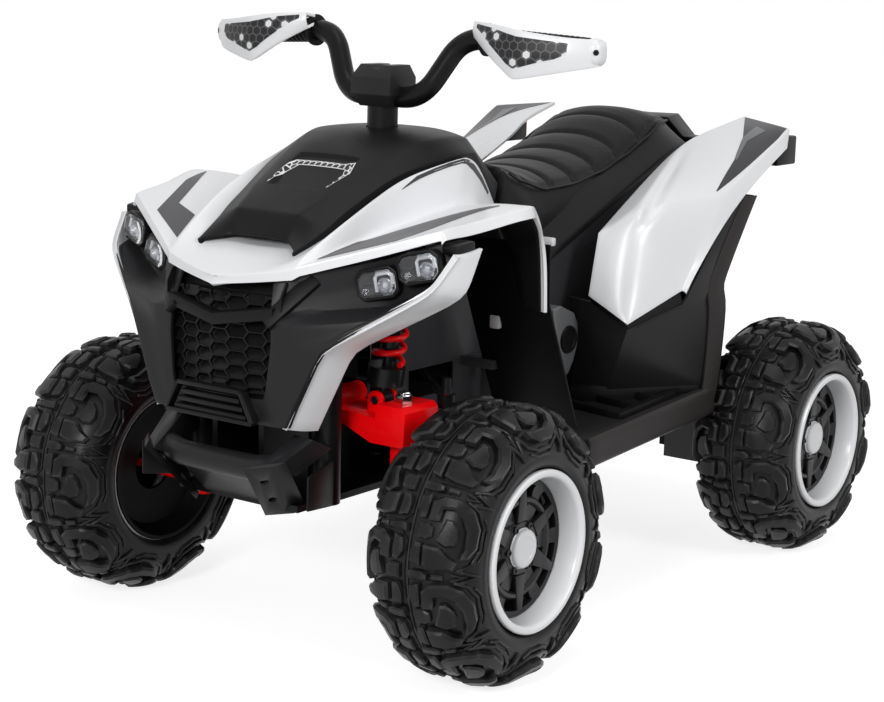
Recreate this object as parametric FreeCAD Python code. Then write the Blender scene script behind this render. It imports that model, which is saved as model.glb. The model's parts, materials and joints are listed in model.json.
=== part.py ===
import FreeCAD, Part
import math
import os

from FreeCAD import Vector as V

# Kids' quad bike, in millimetres. Front of the vehicle faces -Y, its left side is +X, the floor is z = 0.
# Places on the body are given from the front axle or from the rear axle, so each end stays whole
# when the wheelbase or the tyre size changes.

# Driving dimensions
WHEELBASE = 730.0
TRACK = 566.0
TYRE_DIA = 324.0
TYRE_WIDTH = 144.0
RIM_DIA = 188.0
AXLE_DIA = 12.0
FRONT_REACH = 188.0
BAR_DIA = 18.0

# Fits and gaps
RUN_FIT = 0.05
SEAT_GAP = 0.3
PANEL_GAP = 0.5
ARCH_GAP = 14.0
OPEN_PIVOT_GAP = 2.4

# Sheet thicknesses
PANEL_WALL = 4.0
TUB_WALL = 4.0
PAN_THICK = 8.0

# Wheels
TYRE_WALL = 5.0
LUG_COUNT = 20
LUG_HEIGHT = 9.0
LUG_LENGTH = 24.0
LUG_SPAN = 50.0
LUG_INSET = 9.0
SPOKE_COUNT = 6
SPOKE_WIDTH = 17.0
RIM_WALL = 6.0
DISH_DEPTH = 42.0
DISC_THICK = 8.0
HUB_RADIUS = 24.0
CAP_RADIUS = 22.0
CAP_HEIGHT = 17.0
HUB_BACK = 40.0
NUT_RADIUS = 10.0
NUT_LENGTH = 7.0

# Front suspension and steering, heights above the axles
KINGPIN_INSET = 126.0
KINGPIN_RADIUS = 6.0
KINGPIN_HEAD = 11.0
PIVOT_SHARE = 62.0 / 157.0
PIVOT_RISE = 137.0
PIVOT_RADIUS = 5.0
ARM_HALF_DEPTH = 32.0
ARM_BARREL = 13.0
BOSS_LOW = 96.0
BOSS_HIGH = 143.0
STEER_Y = 150.0
STEER_RADIUS = 9.0
PITMAN_X = 16.0
PITMAN_Y = 62.0
ROD_RADIUS = 5.0
PIN_RADIUS = 4.0
EYE_RADIUS = 11.0
EYE_HEIGHT = 16.0
EAR_GAP = 10.0
EAR_THICK = 5.0
SHOCK_SHARE = 121.0 / 157.0
SHOCK_LEAN = 19.0
SHOCK_Y = 6.0
SHOCK_LOW_RISE = 141.0
SHOCK_TOP_RISE = 286.0
SHOCK_PIN_GAP = 0.6
SPRING_RADIUS = 17.5
SPRING_WIRE = 7.0
SPRING_TURNS = 4
SPRING_FROM = 41.0
SPRING_TO = 118.0
CUP_RADIUS = 22.0

# Handlebar, heights above the axles
BAR_RISE = 479.0
GRIP_RADIUS = 15.0
GRIP_LENGTH = 144.0
COLLAR_RADIUS = 19.0

# Central body, heights above the axles
PAN_RISE = 20.0
PAN_INSET = 38.0
TUB_HALF = 112.0
TUB_FRONT = 250.0
TUB_BACK = 45.0
TUB_BROW_Y = -440.0
TUB_STEP_Y = -90.0
TUB_STEP_RISE = 141.0
TUB_OPEN = 10.0
BULKHEAD_INSET = 22.0
MOTOR_INSET = 81.0
FOOT_EDGE = 255.0
FOOT_FRONT = 256.0
FOOT_RISE = 65.0
FOOT_BACK_RISE = 84.0
FOOT_DEPTH = 32.0
SEAT_CHANNELS = 6
CHANNEL_DEPTH = 6.0
CHANNEL_HALF = 9.0

# Worked out from the values above
AXLE_Z = TYRE_DIA / 2
FRONT_Y = -(WHEELBASE + TYRE_DIA / 2 - FRONT_REACH) / 2
REAR_Y = FRONT_Y + WHEELBASE
TYRE_IN = TRACK / 2 - TYRE_WIDTH / 2
KINGPIN_X = TRACK / 2 - KINGPIN_INSET
PIVOT_X = KINGPIN_X * PIVOT_SHARE
SHOCK_X = KINGPIN_X * SHOCK_SHARE
BULKHEAD_HALF = PIVOT_X - BULKHEAD_INSET
MOTOR_X = TYRE_IN - MOTOR_INSET
PAN_HALF = MOTOR_X - PAN_INSET
AXLE_R = AXLE_DIA / 2
RIM_R = RIM_DIA / 2
ARCH_R = TYRE_DIA / 2 + ARCH_GAP
LIP = TYRE_WIDTH / 2 - 3
DISC_OUT = LIP - DISH_DEPTH
DISC_IN = DISC_OUT - DISC_THICK
PAN_TOP = PAN_RISE + PAN_THICK
X_AXIS = V(1, 0, 0)
Y_AXIS = V(0, 1, 0)
Z_AXIS = V(0, 0, 1)


def front(x, y, z):
    """A point given from the front axle: y backwards, z above the axle."""
    return V(x, FRONT_Y + y, AXLE_Z + z)


def rear(x, y, z):
    """A point given from the rear axle: y backwards, z above the axle."""
    return V(x, REAR_Y + y, AXLE_Z + z)


def box(low, high):
    """An upright block between two corner points."""
    size = high - low
    return Part.makeBox(size.x, size.y, size.z, low)


def rod(start, end, radius):
    """A round bar between two points."""
    along = end - start
    return Part.makeCylinder(radius, along.Length, start, along)


def ring(start, end, outer, bore):
    """A round sleeve between two points."""
    return rod(start, end, outer).cut(rod(start, end, bore))


def fused(*shapes):
    """One solid from pieces that meet."""
    return shapes[0].multiFuse(list(shapes[1:])).removeSplitter()


def cut(shape, *tools):
    """The shape without the tools."""
    for tool in tools:
        shape = shape.cut(tool)
    return shape


def mirrored(shape):
    """The same piece on the other side of the vehicle."""
    return shape.mirror(V(0, 0, 0), X_AXIS)


def fan(face):
    """A polygon as triangles from its first corner."""
    return [(face[0], face[i], face[i + 1]) for i in range(1, len(face) - 1)]


def closed_solid(triangles):
    """A solid bounded by flat triangles."""
    faces = [Part.Face(Part.makePolygon([a, b, c, a])) for a, b, c in triangles]
    solid = Part.Solid(Part.makeShell(faces))
    if solid.Volume < 0:
        solid.reverse()
    return solid


def prism(corners, way):
    """A solid swept straight from a polygon whose corners need not lie in one plane."""
    far = [c + way for c in corners]
    count = len(corners)
    skin = [(corners[c], corners[b], corners[a]) for a, b, c in fan(range(count))]
    skin += [(far[a], far[b], far[c]) for a, b, c in fan(range(count))]
    for i in range(count):
        j = (i + 1) % count
        skin.append((corners[i], corners[j], far[j]))
        skin.append((corners[i], far[j], far[i]))
    return closed_solid(skin)


def sheet(points, faces, wall):
    """A moulded sheet: the outer skin, an inner skin one wall behind it, and the walls along its edges."""
    triangles = [t for face in faces for t in fan(face)]
    normals = {}
    for a, b, c in triangles:
        normal = (points[b] - points[a]).cross(points[c] - points[a])
        for i in (a, b, c):
            normals[i] = normals.get(i, V(0, 0, 0)) + normal
    inner = {i: points[i] - n * (wall / n.Length) for i, n in normals.items()}
    edges = {(t[i], t[(i + 1) % 3]) for t in triangles for i in range(3)}
    skin = [(points[a], points[b], points[c]) for a, b, c in triangles]
    skin += [(inner[c], inner[b], inner[a]) for a, b, c in triangles]
    for a, b in edges:
        if (b, a) not in edges:
            skin.append((points[b], points[a], inner[a]))
            skin.append((points[b], inner[a], inner[b]))
    return closed_solid(skin)


def grid_faces(rows, columns, gaps=()):
    """Four-cornered faces of a net of points, row by row, without the cells named in gaps.

    The first corner, from which a face is folded, changes over at the middle, so both halves fold alike.
    """
    faces = []
    for r in range(rows - 1):
        for c in range(columns - 1):
            if (r, c) not in gaps:
                i = r * columns + c
                face = (i, i + columns, i + columns + 1, i + 1)
                faces.append(face if 2 * c + 1 >= columns - 1 else face[3:] + face[:3])
    return faces


def net_sheet(rows, wall, gaps=()):
    """A sheet through rows of points."""
    points = [p for row in rows for p in row]
    return sheet(points, grid_faces(len(rows), len(rows[0]), gaps), wall)


def both_halves(half):
    """A row of points from the right edge to the left edge, given its half from the middle outwards."""
    return [V(-p.x, p.y, p.z) for p in reversed(half[1:])] + list(half)


def side_profile(outline, x_from, x_to):
    """A side view outline, as points with any x, drawn out across the vehicle."""
    corners = [V(x_from, p.y, p.z) for p in outline]
    face = Part.Face(Part.makePolygon(corners + [corners[0]]))
    return face.extrude(V(x_to - x_from, 0, 0))


def trimmed(post, panel, inside):
    """The piece of a post that lies on the near side of a panel, where the inside point is."""
    pieces = post.cut(panel).Solids
    return min(pieces, key=lambda s: s.CenterOfMass.distanceToPoint(inside))


def bent_tube(points, bend, radius):
    """A round tube along straight runs joined by tangent arcs."""
    edges = []
    start = points[0]
    for i in range(1, len(points) - 1):
        back = (points[i - 1] - points[i]).normalize()
        ahead = (points[i + 1] - points[i]).normalize()
        half = back.getAngle(ahead) / 2
        reach = bend / math.tan(half)
        middle = (back + ahead).normalize()
        centre = points[i] + middle * (bend / math.sin(half))
        entry = points[i] + back * reach
        leave = points[i] + ahead * reach
        edges.append(Part.LineSegment(start, entry).toShape())
        edges.append(Part.Arc(entry, centre - middle * bend, leave).toShape())
        start = leave
    edges.append(Part.LineSegment(start, points[-1]).toShape())
    circle = Part.makeCircle(radius, points[0], points[1] - points[0])
    return Part.Wire(edges).makePipeShell([Part.Wire(circle)], True, False)


def biarc(start, start_way, end, end_way):
    """Two arcs that leave start and reach end in the given directions, as three points each."""
    chord = end - start
    ways = start_way + end_way
    turn = 2 * (1 - start_way.dot(end_way))
    reach = (math.sqrt(chord.dot(ways) ** 2 + turn * chord.dot(chord)) - chord.dot(ways)) / turn
    near = start + start_way * reach
    far = end - end_way * reach
    joint = (near + far) * 0.5
    arcs = []
    for a, corner, b in ((start, near, joint), (joint, far, end)):
        middle = (a + b) * 0.5
        half = (corner - a).getAngle(b - a)
        bulge = (b - a).Length / 2 * math.tan(half / 2)
        arcs.append((a, middle + (corner - middle).normalize() * bulge, b))
    return arcs


def wheel_turn(profile, centre):
    """A body of revolution about a wheel's axle, its profile given as (outwards, radius)."""
    points = [V(centre.x + a, centre.y, centre.z + r) for a, r in profile]
    face = Part.Face(Part.makePolygon(points + [points[0]]))
    return face.revolve(centre, X_AXIS, 360)


def tyre(centre):
    """Moulded tyre with its inner web and hub: lugs stand on both shoulders, offset by half a pitch."""
    crown = TYRE_DIA / 2 - LUG_HEIGHT
    half = TYRE_WIDTH / 2
    seat = RIM_R - 2 + SEAT_GAP
    profile = [(LIP - 5, seat), (LIP - 5, RIM_R + 1), (LIP, RIM_R + 4), (half - 2, RIM_R + 20)]
    profile += [(half - 4, crown - 22), (half - 14, crown - 5), (half - 35, crown)]
    profile += [(35 - half, crown), (14 - half, crown - 5)]
    profile += [(4 - half, crown - 22), (2 - half, RIM_R + 20), (6 - half, RIM_R + 6), (15 - half, RIM_R - 4)]
    profile += [(DISC_IN - 36, RIM_R - 16), (DISC_IN - 36, 30), (-HUB_BACK, 30)]
    profile += [(-HUB_BACK, AXLE_R + RUN_FIT)]
    profile += [(DISC_IN - 5, AXLE_R + RUN_FIT), (DISC_IN - 5, HUB_RADIUS), (DISC_IN - 26, 30)]
    profile += [(DISC_IN - 26, RIM_R - 14), (DISC_IN - 8, seat)]
    wall = TYRE_WALL
    room = [(half - 4 - wall, RIM_R + 20), (half - 8 - wall, crown - 22), (half - 35, crown - wall)]
    room += [(35 - half, crown - wall), (8 - half + wall, crown - 22), (4 - half + wall, RIM_R + 20)]
    room += [(18 - half + wall, RIM_R + wall), (LIP - 12, RIM_R + wall)]
    carcass = wheel_turn(profile, centre).cut(wheel_turn(room, centre))
    lugs = []
    pitch = 360 / LUG_COUNT
    for side, offset in ((1, 0), (-1, pitch / 2)):
        inner = side * (half - LUG_INSET)
        outer = inner - side * LUG_SPAN
        for i in range(LUG_COUNT):
            low = centre + V(min(inner, outer), -LUG_LENGTH / 2, -TYRE_DIA / 2)
            lug = Part.makeBox(LUG_SPAN, LUG_LENGTH, LUG_HEIGHT + 6, low)
            lug.rotate(centre, X_AXIS, offset + i * pitch)
            lugs.append(lug)
    return carcass.multiFuse(lugs)


def rim(centre):
    """Deep bright ring that the tyre sits on."""
    seat = RIM_R - 2
    profile = [(DISC_IN - 6, seat), (LIP - 4, seat), (LIP - 4, RIM_R), (LIP, RIM_R), (LIP, RIM_R - RIM_WALL)]
    profile += [(DISC_IN - 4, RIM_R - RIM_WALL - 8), (DISC_IN - 6, RIM_R - RIM_WALL - 8)]
    return wheel_turn(profile, centre)


def spokes(centre):
    """Star-shaped centre disc with its hub."""
    radius = RIM_R - RIM_WALL - 8 - SEAT_GAP
    inner = centre + V(DISC_IN, 0, 0)
    outer = centre + V(DISC_OUT, 0, 0)
    disc = rod(inner, outer, radius)
    window = ring(inner, outer, radius - 9, HUB_RADIUS + 6)
    for i in range(SPOKE_COUNT):
        bar = Part.makeBox(DISC_THICK, SPOKE_WIDTH, radius, inner + V(0, -SPOKE_WIDTH / 2, 0))
        bar.rotate(centre, X_AXIS, i * 360 / SPOKE_COUNT)
        window = window.cut(bar)
    hub = rod(centre + V(DISC_IN - 5 + SEAT_GAP, 0, 0), outer + V(2, 0, 0), HUB_RADIUS)
    bore = rod(centre + V(-TYRE_WIDTH, 0, 0), centre + V(TYRE_WIDTH, 0, 0), AXLE_R + RUN_FIT)
    return cut(fused(disc.cut(window), hub), bore)


def hub_cap(centre):
    """Round cap over the axle nut."""
    base = centre + V(DISC_OUT + 2, 0, 0)
    cap = rod(base, base + V(CAP_HEIGHT, 0, 0), CAP_RADIUS)
    rim_edge = cap.Edges[0]
    for edge in cap.Edges:
        if edge.BoundBox.XMin > base.x + CAP_HEIGHT - 1:
            rim_edge = edge
    cap = cap.makeFillet(4, [rim_edge])
    pocket = rod(base, base + V(CAP_HEIGHT - 4, 0, 0), NUT_RADIUS + 3)
    return cap.cut(pocket)


def axle_end(centre):
    """Nut on the end of an axle, inside the hub cap."""
    start = centre + V(DISC_OUT + 2 + PANEL_GAP, 0, 0)
    return rod(start, start + V(NUT_LENGTH, 0, 0), NUT_RADIUS)


def knuckle():
    """Left steering knuckle: kingpin bore, stub axle with its nut, and the steering arm with its pin."""
    centre = front(TRACK / 2, 0, 0)
    top = BOSS_LOW - PANEL_GAP
    post = rod(front(KINGPIN_X, 0, -20), front(KINGPIN_X, 0, top), 15)
    collar = rod(front(KINGPIN_X, 0, 0), centre + V(-HUB_BACK - PANEL_GAP, 0, 0), 11)
    stub = rod(front(KINGPIN_X, 0, 0), centre + V(DISC_OUT + 2 + PANEL_GAP + NUT_LENGTH, 0, 0), AXLE_R)
    pin_x = KINGPIN_X + PITMAN_X
    steer_arm = box(front(pin_x - 10, 2, top - 12), front(pin_x + 8, PITMAN_Y + 10, top))
    pin = rod(front(pin_x, PITMAN_Y, top - 6), front(pin_x, PITMAN_Y, PIVOT_RISE + 26), PIN_RADIUS)
    bore = rod(front(KINGPIN_X, 0, 40), front(KINGPIN_X, 0, BOSS_HIGH), KINGPIN_RADIUS + RUN_FIT)
    return fused(post, collar, stub, axle_end(centre), steer_arm, pin).cut(bore)


def kingpin():
    """Left kingpin bolt with a hexagon head."""
    shank = rod(front(KINGPIN_X, 0, 45), front(KINGPIN_X, 0, BOSS_HIGH + 1), KINGPIN_RADIUS)
    corners = []
    for i in range(7):
        angle = math.radians(60 * i)
        x = KINGPIN_X + KINGPIN_HEAD * math.cos(angle)
        corners.append(front(x, KINGPIN_HEAD * math.sin(angle), BOSS_HIGH))
    head = Part.Face(Part.makePolygon(corners)).extrude(V(0, 0, 8))
    return fused(shank, head)


SHOCK_LOW = front(SHOCK_X, SHOCK_Y, SHOCK_LOW_RISE)
SHOCK_TOP = front(SHOCK_X + SHOCK_LEAN, SHOCK_Y, SHOCK_TOP_RISE)
SHOCK_WAY = (SHOCK_TOP - SHOCK_LOW).normalize()
SHOCK_LENGTH = (SHOCK_TOP - SHOCK_LOW).Length


def arm():
    """Left suspension arm: pivot barrel, tapered beam, kingpin boss and the shock's pin between two ears."""
    depth = ARM_HALF_DEPTH
    barrel = rod(front(PIVOT_X, -depth - 3, PIVOT_RISE), front(PIVOT_X, depth + 3, PIVOT_RISE), ARM_BARREL)
    outline = [(PIVOT_X, PIVOT_RISE - 12), (KINGPIN_X - 24, BOSS_LOW), (KINGPIN_X + 24, BOSS_LOW)]
    outline += [(KINGPIN_X + 26, BOSS_HIGH - 6), (KINGPIN_X + 20, BOSS_HIGH), (KINGPIN_X - 15, BOSS_HIGH)]
    outline += [(KINGPIN_X - 18, PIVOT_RISE - 11), (PIVOT_X, PIVOT_RISE - 6)]
    corners = [front(x, -depth, z) for x, z in outline]
    beam = Part.Face(Part.makePolygon(corners + [corners[0]])).extrude(V(0, 2 * depth, 0))
    ears = []
    for y in (-EAR_GAP - EAR_THICK, EAR_GAP):
        low = SHOCK_LOW + V(-EYE_RADIUS, y, PIVOT_RISE - 20 - SHOCK_LOW_RISE)
        ears.append(box(low, SHOCK_LOW + V(EYE_RADIUS, y + EAR_THICK, 0)))
        ears.append(rod(SHOCK_LOW + V(0, y, 0), SHOCK_LOW + V(0, y + EAR_THICK, 0), EYE_RADIUS))
    reach = V(0, EAR_GAP + EAR_THICK, 0)
    pin = rod(SHOCK_LOW - reach, SHOCK_LOW + reach, PIN_RADIUS)
    pivot = rod(front(PIVOT_X, -90, PIVOT_RISE), front(PIVOT_X, 90, PIVOT_RISE), PIVOT_RADIUS + RUN_FIT)
    bore = rod(front(KINGPIN_X, 0, 0), front(KINGPIN_X, 0, BOSS_HIGH + 9), KINGPIN_RADIUS + RUN_FIT)
    eye_room = rod(SHOCK_LOW - V(0, EAR_GAP, 0), SHOCK_LOW + V(0, EAR_GAP, 0), EYE_RADIUS + 3)
    return cut(fused(cut(fused(barrel, beam), eye_room), *ears, pin), pivot, bore)


def along_shock(distance):
    """A point on the left shock absorber's centre line, measured up from its lower eye."""
    return SHOCK_LOW + SHOCK_WAY * distance


def shock_rod():
    """Left shock's lower half: eye, spring cup and piston rod."""
    half = V(0, EYE_HEIGHT / 2, 0)
    eye = rod(SHOCK_LOW - half, SHOCK_LOW + half, EYE_RADIUS - 1)
    neck = rod(SHOCK_LOW, along_shock(22), 7)
    cup = rod(along_shock(19), along_shock(SPRING_FROM - SEAT_GAP), CUP_RADIUS)
    piston = rod(along_shock(30), along_shock(105), 6)
    bore = rod(SHOCK_LOW - half, SHOCK_LOW + half, PIN_RADIUS + SHOCK_PIN_GAP)
    return fused(eye, neck, cup, piston).cut(bore)


def shock_tube():
    """Left shock's upper half: cylinder, spring plate and top eye."""
    half = V(0, EYE_HEIGHT / 2, 0)
    eye = rod(SHOCK_TOP - half, SHOCK_TOP + half, EYE_RADIUS)
    cylinder = rod(along_shock(62), along_shock(SHOCK_LENGTH - 16), 11)
    neck = rod(along_shock(SHOCK_LENGTH - 18), along_shock(SHOCK_LENGTH - 8.5), 7)
    plate = rod(along_shock(SPRING_TO + SEAT_GAP), along_shock(SPRING_TO + 6), CUP_RADIUS)
    bore = rod(along_shock(60), along_shock(128), 6 + RUN_FIT)
    pin = rod(SHOCK_TOP - half, SHOCK_TOP + half, PIVOT_RADIUS + RUN_FIT)
    return fused(cylinder, plate, neck, eye).cut(bore).cut(pin)


def spring():
    """Left coil spring: one wire that leaves each seat squarely, bends over and winds round the shock."""
    side = Y_AXIS
    other = SHOCK_WAY.cross(side)
    bend = SPRING_WIRE
    sweep = bend / SPRING_RADIUS
    foot = SPRING_FROM + SPRING_WIRE
    head = SPRING_TO - SPRING_WIRE
    wound = 2 * math.pi * SPRING_TURNS
    low = foot + bend
    climb = (head - bend - low) / wound

    def place(angle, height):
        spoke = side * math.cos(angle) + other * math.sin(angle)
        return along_shock(height) + spoke * SPRING_RADIUS

    def way(angle):
        turn = other * math.cos(angle) - side * math.sin(angle)
        return (turn * SPRING_RADIUS + SHOCK_WAY * climb).normalize()

    stops = [(place(-sweep, foot), SHOCK_WAY)]
    for i in range(4 * SPRING_TURNS + 1):
        angle = i * math.pi / 2
        stops.append((place(angle, low + climb * angle), way(angle)))
    stops.append((place(wound + sweep, head), SHOCK_WAY))
    edges = [Part.LineSegment(place(-sweep, SPRING_FROM), stops[0][0]).toShape()]
    for (a, a_way), (b, b_way) in zip(stops, stops[1:]):
        edges += [Part.Arc(*arc).toShape() for arc in biarc(a, a_way, b, b_way)]
    edges.append(Part.LineSegment(stops[-1][0], place(wound + sweep, SPRING_TO)).toShape())
    path = Part.Wire(edges)
    circle = Part.makeCircle(SPRING_WIRE / 2, place(-sweep, SPRING_FROM), SHOCK_WAY)
    samples = path.discretize(Number=40 * SPRING_TURNS)
    skip = math.ceil(2.5 * SPRING_WIRE / (path.Length / len(samples)))
    gap = min(a.distanceToPoint(b) for i, a in enumerate(samples) for b in samples[i + skip:])
    print("spring: least gap to itself", round(gap - SPRING_WIRE, 2), "mm")
    return path.makePipeShell([Part.Wire(circle)], True, False)


def steering_shaft():
    """Upright column with its collar on top and the plate that carries the tie rod pins below."""
    shaft = rod(front(0, STEER_Y, PIVOT_RISE - 58), front(0, STEER_Y, BAR_RISE - 10), STEER_RADIUS)
    collar = rod(front(0, STEER_Y, BAR_RISE - 42), front(0, STEER_Y, BAR_RISE - 10), COLLAR_RADIUS)
    eye_low = PIVOT_RISE - EYE_HEIGHT / 2
    plate_end = STEER_Y + PITMAN_Y + 10
    plate = box(front(-26, STEER_Y - 14, eye_low - 12), front(26, plate_end, eye_low - PANEL_GAP))
    pins = []
    for x in (-PITMAN_X, PITMAN_X):
        low = front(x, STEER_Y + PITMAN_Y, eye_low - 4)
        pins.append(rod(low, low + V(0, 0, EYE_HEIGHT + 8), PIN_RADIUS))
    return fused(shaft, collar, plate, *pins)


def tie_rod():
    """Left tie rod, with an eye at each end."""
    inner = front(PITMAN_X, STEER_Y + PITMAN_Y, PIVOT_RISE)
    outer = front(KINGPIN_X + PITMAN_X, PITMAN_Y, PIVOT_RISE)
    half = V(0, 0, EYE_HEIGHT / 2)
    body = fused(rod(inner, outer, ROD_RADIUS), rod(inner - half, inner + half, EYE_RADIUS - 1),
                 rod(outer - half, outer + half, EYE_RADIUS))
    snug_hole = rod(inner - half, inner + half, PIN_RADIUS + RUN_FIT)
    loose_hole = rod(outer - half, outer + half, PIN_RADIUS + OPEN_PIVOT_GAP)
    return cut(body, snug_hole, loose_hole)


BAR_MID = front(0, STEER_Y, BAR_RISE)
BAR_ELBOW = BAR_MID + V(58, 3, 2)
BAR_SHOULDER = BAR_MID + V(100, 28, 78)
BAR_END = BAR_MID + V(274, 41.17, 69.54)
GRIP_WAY = (BAR_END - BAR_SHOULDER).normalize()


def handlebar():
    """One bent tube with a riser on each side."""
    half = [BAR_MID, BAR_ELBOW, BAR_SHOULDER, BAR_END]
    return bent_tube(both_halves(half)[:3] + half[1:], 30, BAR_DIA / 2)


def clamp_block():
    """Faceted block that holds the bar on the column."""
    rows = []
    for z, x, y_front, y_back in ((-10, 22, -18, 20), (5, 30, -27, 27), (26, 30, -26, 27), (41, 24, -15, 22)):
        corners = [V(-x, y_front, z), V(x, y_front, z), V(x, y_back, z), V(-x, y_back, z)]
        rows.append(Part.makePolygon([BAR_MID + c for c in corners] + [BAR_MID + corners[0]]))
    block = Part.makeLoft(rows, True, True)
    channel = rod(BAR_MID - V(60, 0, 0), BAR_MID + V(60, 0, 0), BAR_DIA / 2 + PANEL_GAP)
    return block.cut(channel).cut(grown_bar())


def grown_bar():
    """The bar with a little room round it."""
    half = [BAR_MID, BAR_ELBOW, BAR_SHOULDER, BAR_END]
    return bent_tube(both_halves(half)[:3] + half[1:], 30, BAR_DIA / 2 + PANEL_GAP)


def grip():
    """Left rubber grip."""
    start = BAR_END - GRIP_WAY * GRIP_LENGTH
    end = BAR_END - GRIP_WAY * 3
    bore = rod(start, end, BAR_DIA / 2 + RUN_FIT)
    flange = rod(start, start + GRIP_WAY * 6, GRIP_RADIUS + 5)
    return fused(rod(start, end, GRIP_RADIUS), flange).cut(bore)


def hand_guard():
    """Left hand guard: a shield ahead of the grip, held on the bar beside the grip and at the bar's end."""
    top = [V(132, 8, 100), V(166, -8, 98), V(206, -13, 92), V(252, 0, 86), V(291, 27, 81)]
    middle = [V(130, 6, 89), V(166, -17, 77), V(204, -23, 63), V(252, -9, 64), V(293, 25, 69)]
    low = [V(128, 10, 78), V(166, -11, 56), V(202, -15, 33), V(252, -2, 43), V(291, 27, 56)]
    rows = [[BAR_MID + p for p in row] for row in (top, middle, low)]
    shield = net_sheet(rows, PANEL_WALL)
    cap_start = BAR_END + GRIP_WAY * PANEL_GAP
    cap = rod(cap_start, cap_start + GRIP_WAY * 9, 13)
    bridge = box(BAR_MID + V(276, 25, 60), BAR_MID + V(292, 44, 78))
    clip_start = BAR_END - GRIP_WAY * (GRIP_LENGTH + 13)
    clip = rod(clip_start, clip_start + GRIP_WAY * 11, BAR_DIA / 2 + 6)
    stay = box(BAR_MID + V(116, 6, 78), BAR_MID + V(134, 30, 90))
    grip_start = BAR_END - GRIP_WAY * (GRIP_LENGTH + 1)
    room = rod(grip_start - GRIP_WAY * 44, BAR_END, BAR_DIA / 2 + PANEL_GAP)
    grip_room = rod(grip_start, BAR_END, GRIP_RADIUS + 6)
    whole = fused(shield, cap, bridge.cut(grip_room), fused(clip, stay).cut(grip_room))
    hold = rod(grip_start, BAR_END - GRIP_WAY * 2, GRIP_RADIUS + PANEL_GAP)
    flange_room = rod(grip_start, grip_start + GRIP_WAY * 8, GRIP_RADIUS + 6)
    return cut(whole, room, hold, flange_room)


def front_points(*places):
    """Points given from the front axle."""
    return [front(*place) for place in places]


def rear_points(*places):
    """Points given from the rear axle."""
    return [rear(*place) for place in places]


def hood():
    """White hood: nose lip, shoulders beside the dark cover, and both front fenders with their rear drops."""
    rows = [
        front_points((0, -159, 285), (38, -150, 288), (70, -139, 295), (98, -127, 302),
                     (172, -80, 321), (235, -43, 344), (237, -44, 340)),
        front_points((0, -157, 296), (38, -148, 299), (68, -138, 305), (95, -129, 308),
                     (171, -79, 332), (234, -41, 355), (239, -40, 344)),
        front_points((0, -82, 319), (38, -80, 319), (72, -100, 309), (107, -88, 318),
                     (174, -46, 339), (240, -12, 359), (245, -12, 346)),
        front_points((0, -60, 316), (58, -50, 320), (89, -50, 334), (113, -38, 328),
                     (178, 2, 349), (247, 30, 364), (252, 30, 351)),
        front_points((0, 20, 350), (72, 18, 350), (99, 16, 374), (121, 22, 340),
                     (186, 46, 362), (256, 66, 371), (261, 66, 358)),
        front_points((0, 66, 370), (82, 66, 370), (107, 63, 393), (127, 74, 351),
                     (192, 86, 370), (265, 93, 374), (269, 92, 361)),
        front_points((0, 140, 390), (106, 140, 392), (132, 142, 411), (133, 128, 360),
                     (194, 116, 371), (252, 116, 371), (255, 116, 358)),
        front_points((0, 172, 390), (103, 172, 390), (128, 174, 409), (136, 165, 356),
                     (200, 150, 345), (243, 148, 345), (247, 144, 338)),
        front_points((0, 222, 348), (94, 222, 346), (113, 236, 350), (122, 226, 346),
                     (205, 163, 300), (240, 161, 305), (245, 158, 303)),
        front_points((0, 222, 348), (94, 222, 346), (113, 236, 350), (122, 226, 346),
                     (212, 170, 240), (240, 167, 239), (244, 163, 239)),
    ]
    under_cover = {(r, c) for r in range(2, 9) for c in (5, 6)}
    behind_tyre = {(r, c) for r in (7, 8) for c in (2, 9)}
    no_shoulder = {(8, c) for c in (2, 3, 4, 5, 6, 7, 8, 9)}
    return net_sheet([both_halves(row) for row in rows], PANEL_WALL, under_cover | behind_tyre | no_shoulder)


COVER_SLOPE_TOP = front(0, 205, 443)
COVER_SLOPE_LOW = front(0, 286, 384)
SLOPE_WAY = (COVER_SLOPE_LOW - COVER_SLOPE_TOP).normalize()
SLOPE_OUT = X_AXIS.cross(SLOPE_WAY)
SWITCH_X = 28.0
SWITCH_DOWN = 50.0
BUTTON_RADIUS = 9.0
BUTTON_LENGTH = 17.0
ROCKER_HALF = 12.0
ROCKER_WIDTH = 14.0
ROCKER_GAP = 0.8
TRUNNION_RADIUS = 1.2
TRUNNION_REACH = 10.5


def slope_point(x, down, out):
    """A point on the cover's rear slope: across, down the slope and out of it."""
    return COVER_SLOPE_TOP + V(x, 0, 0) + SLOPE_WAY * down + SLOPE_OUT * out


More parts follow.
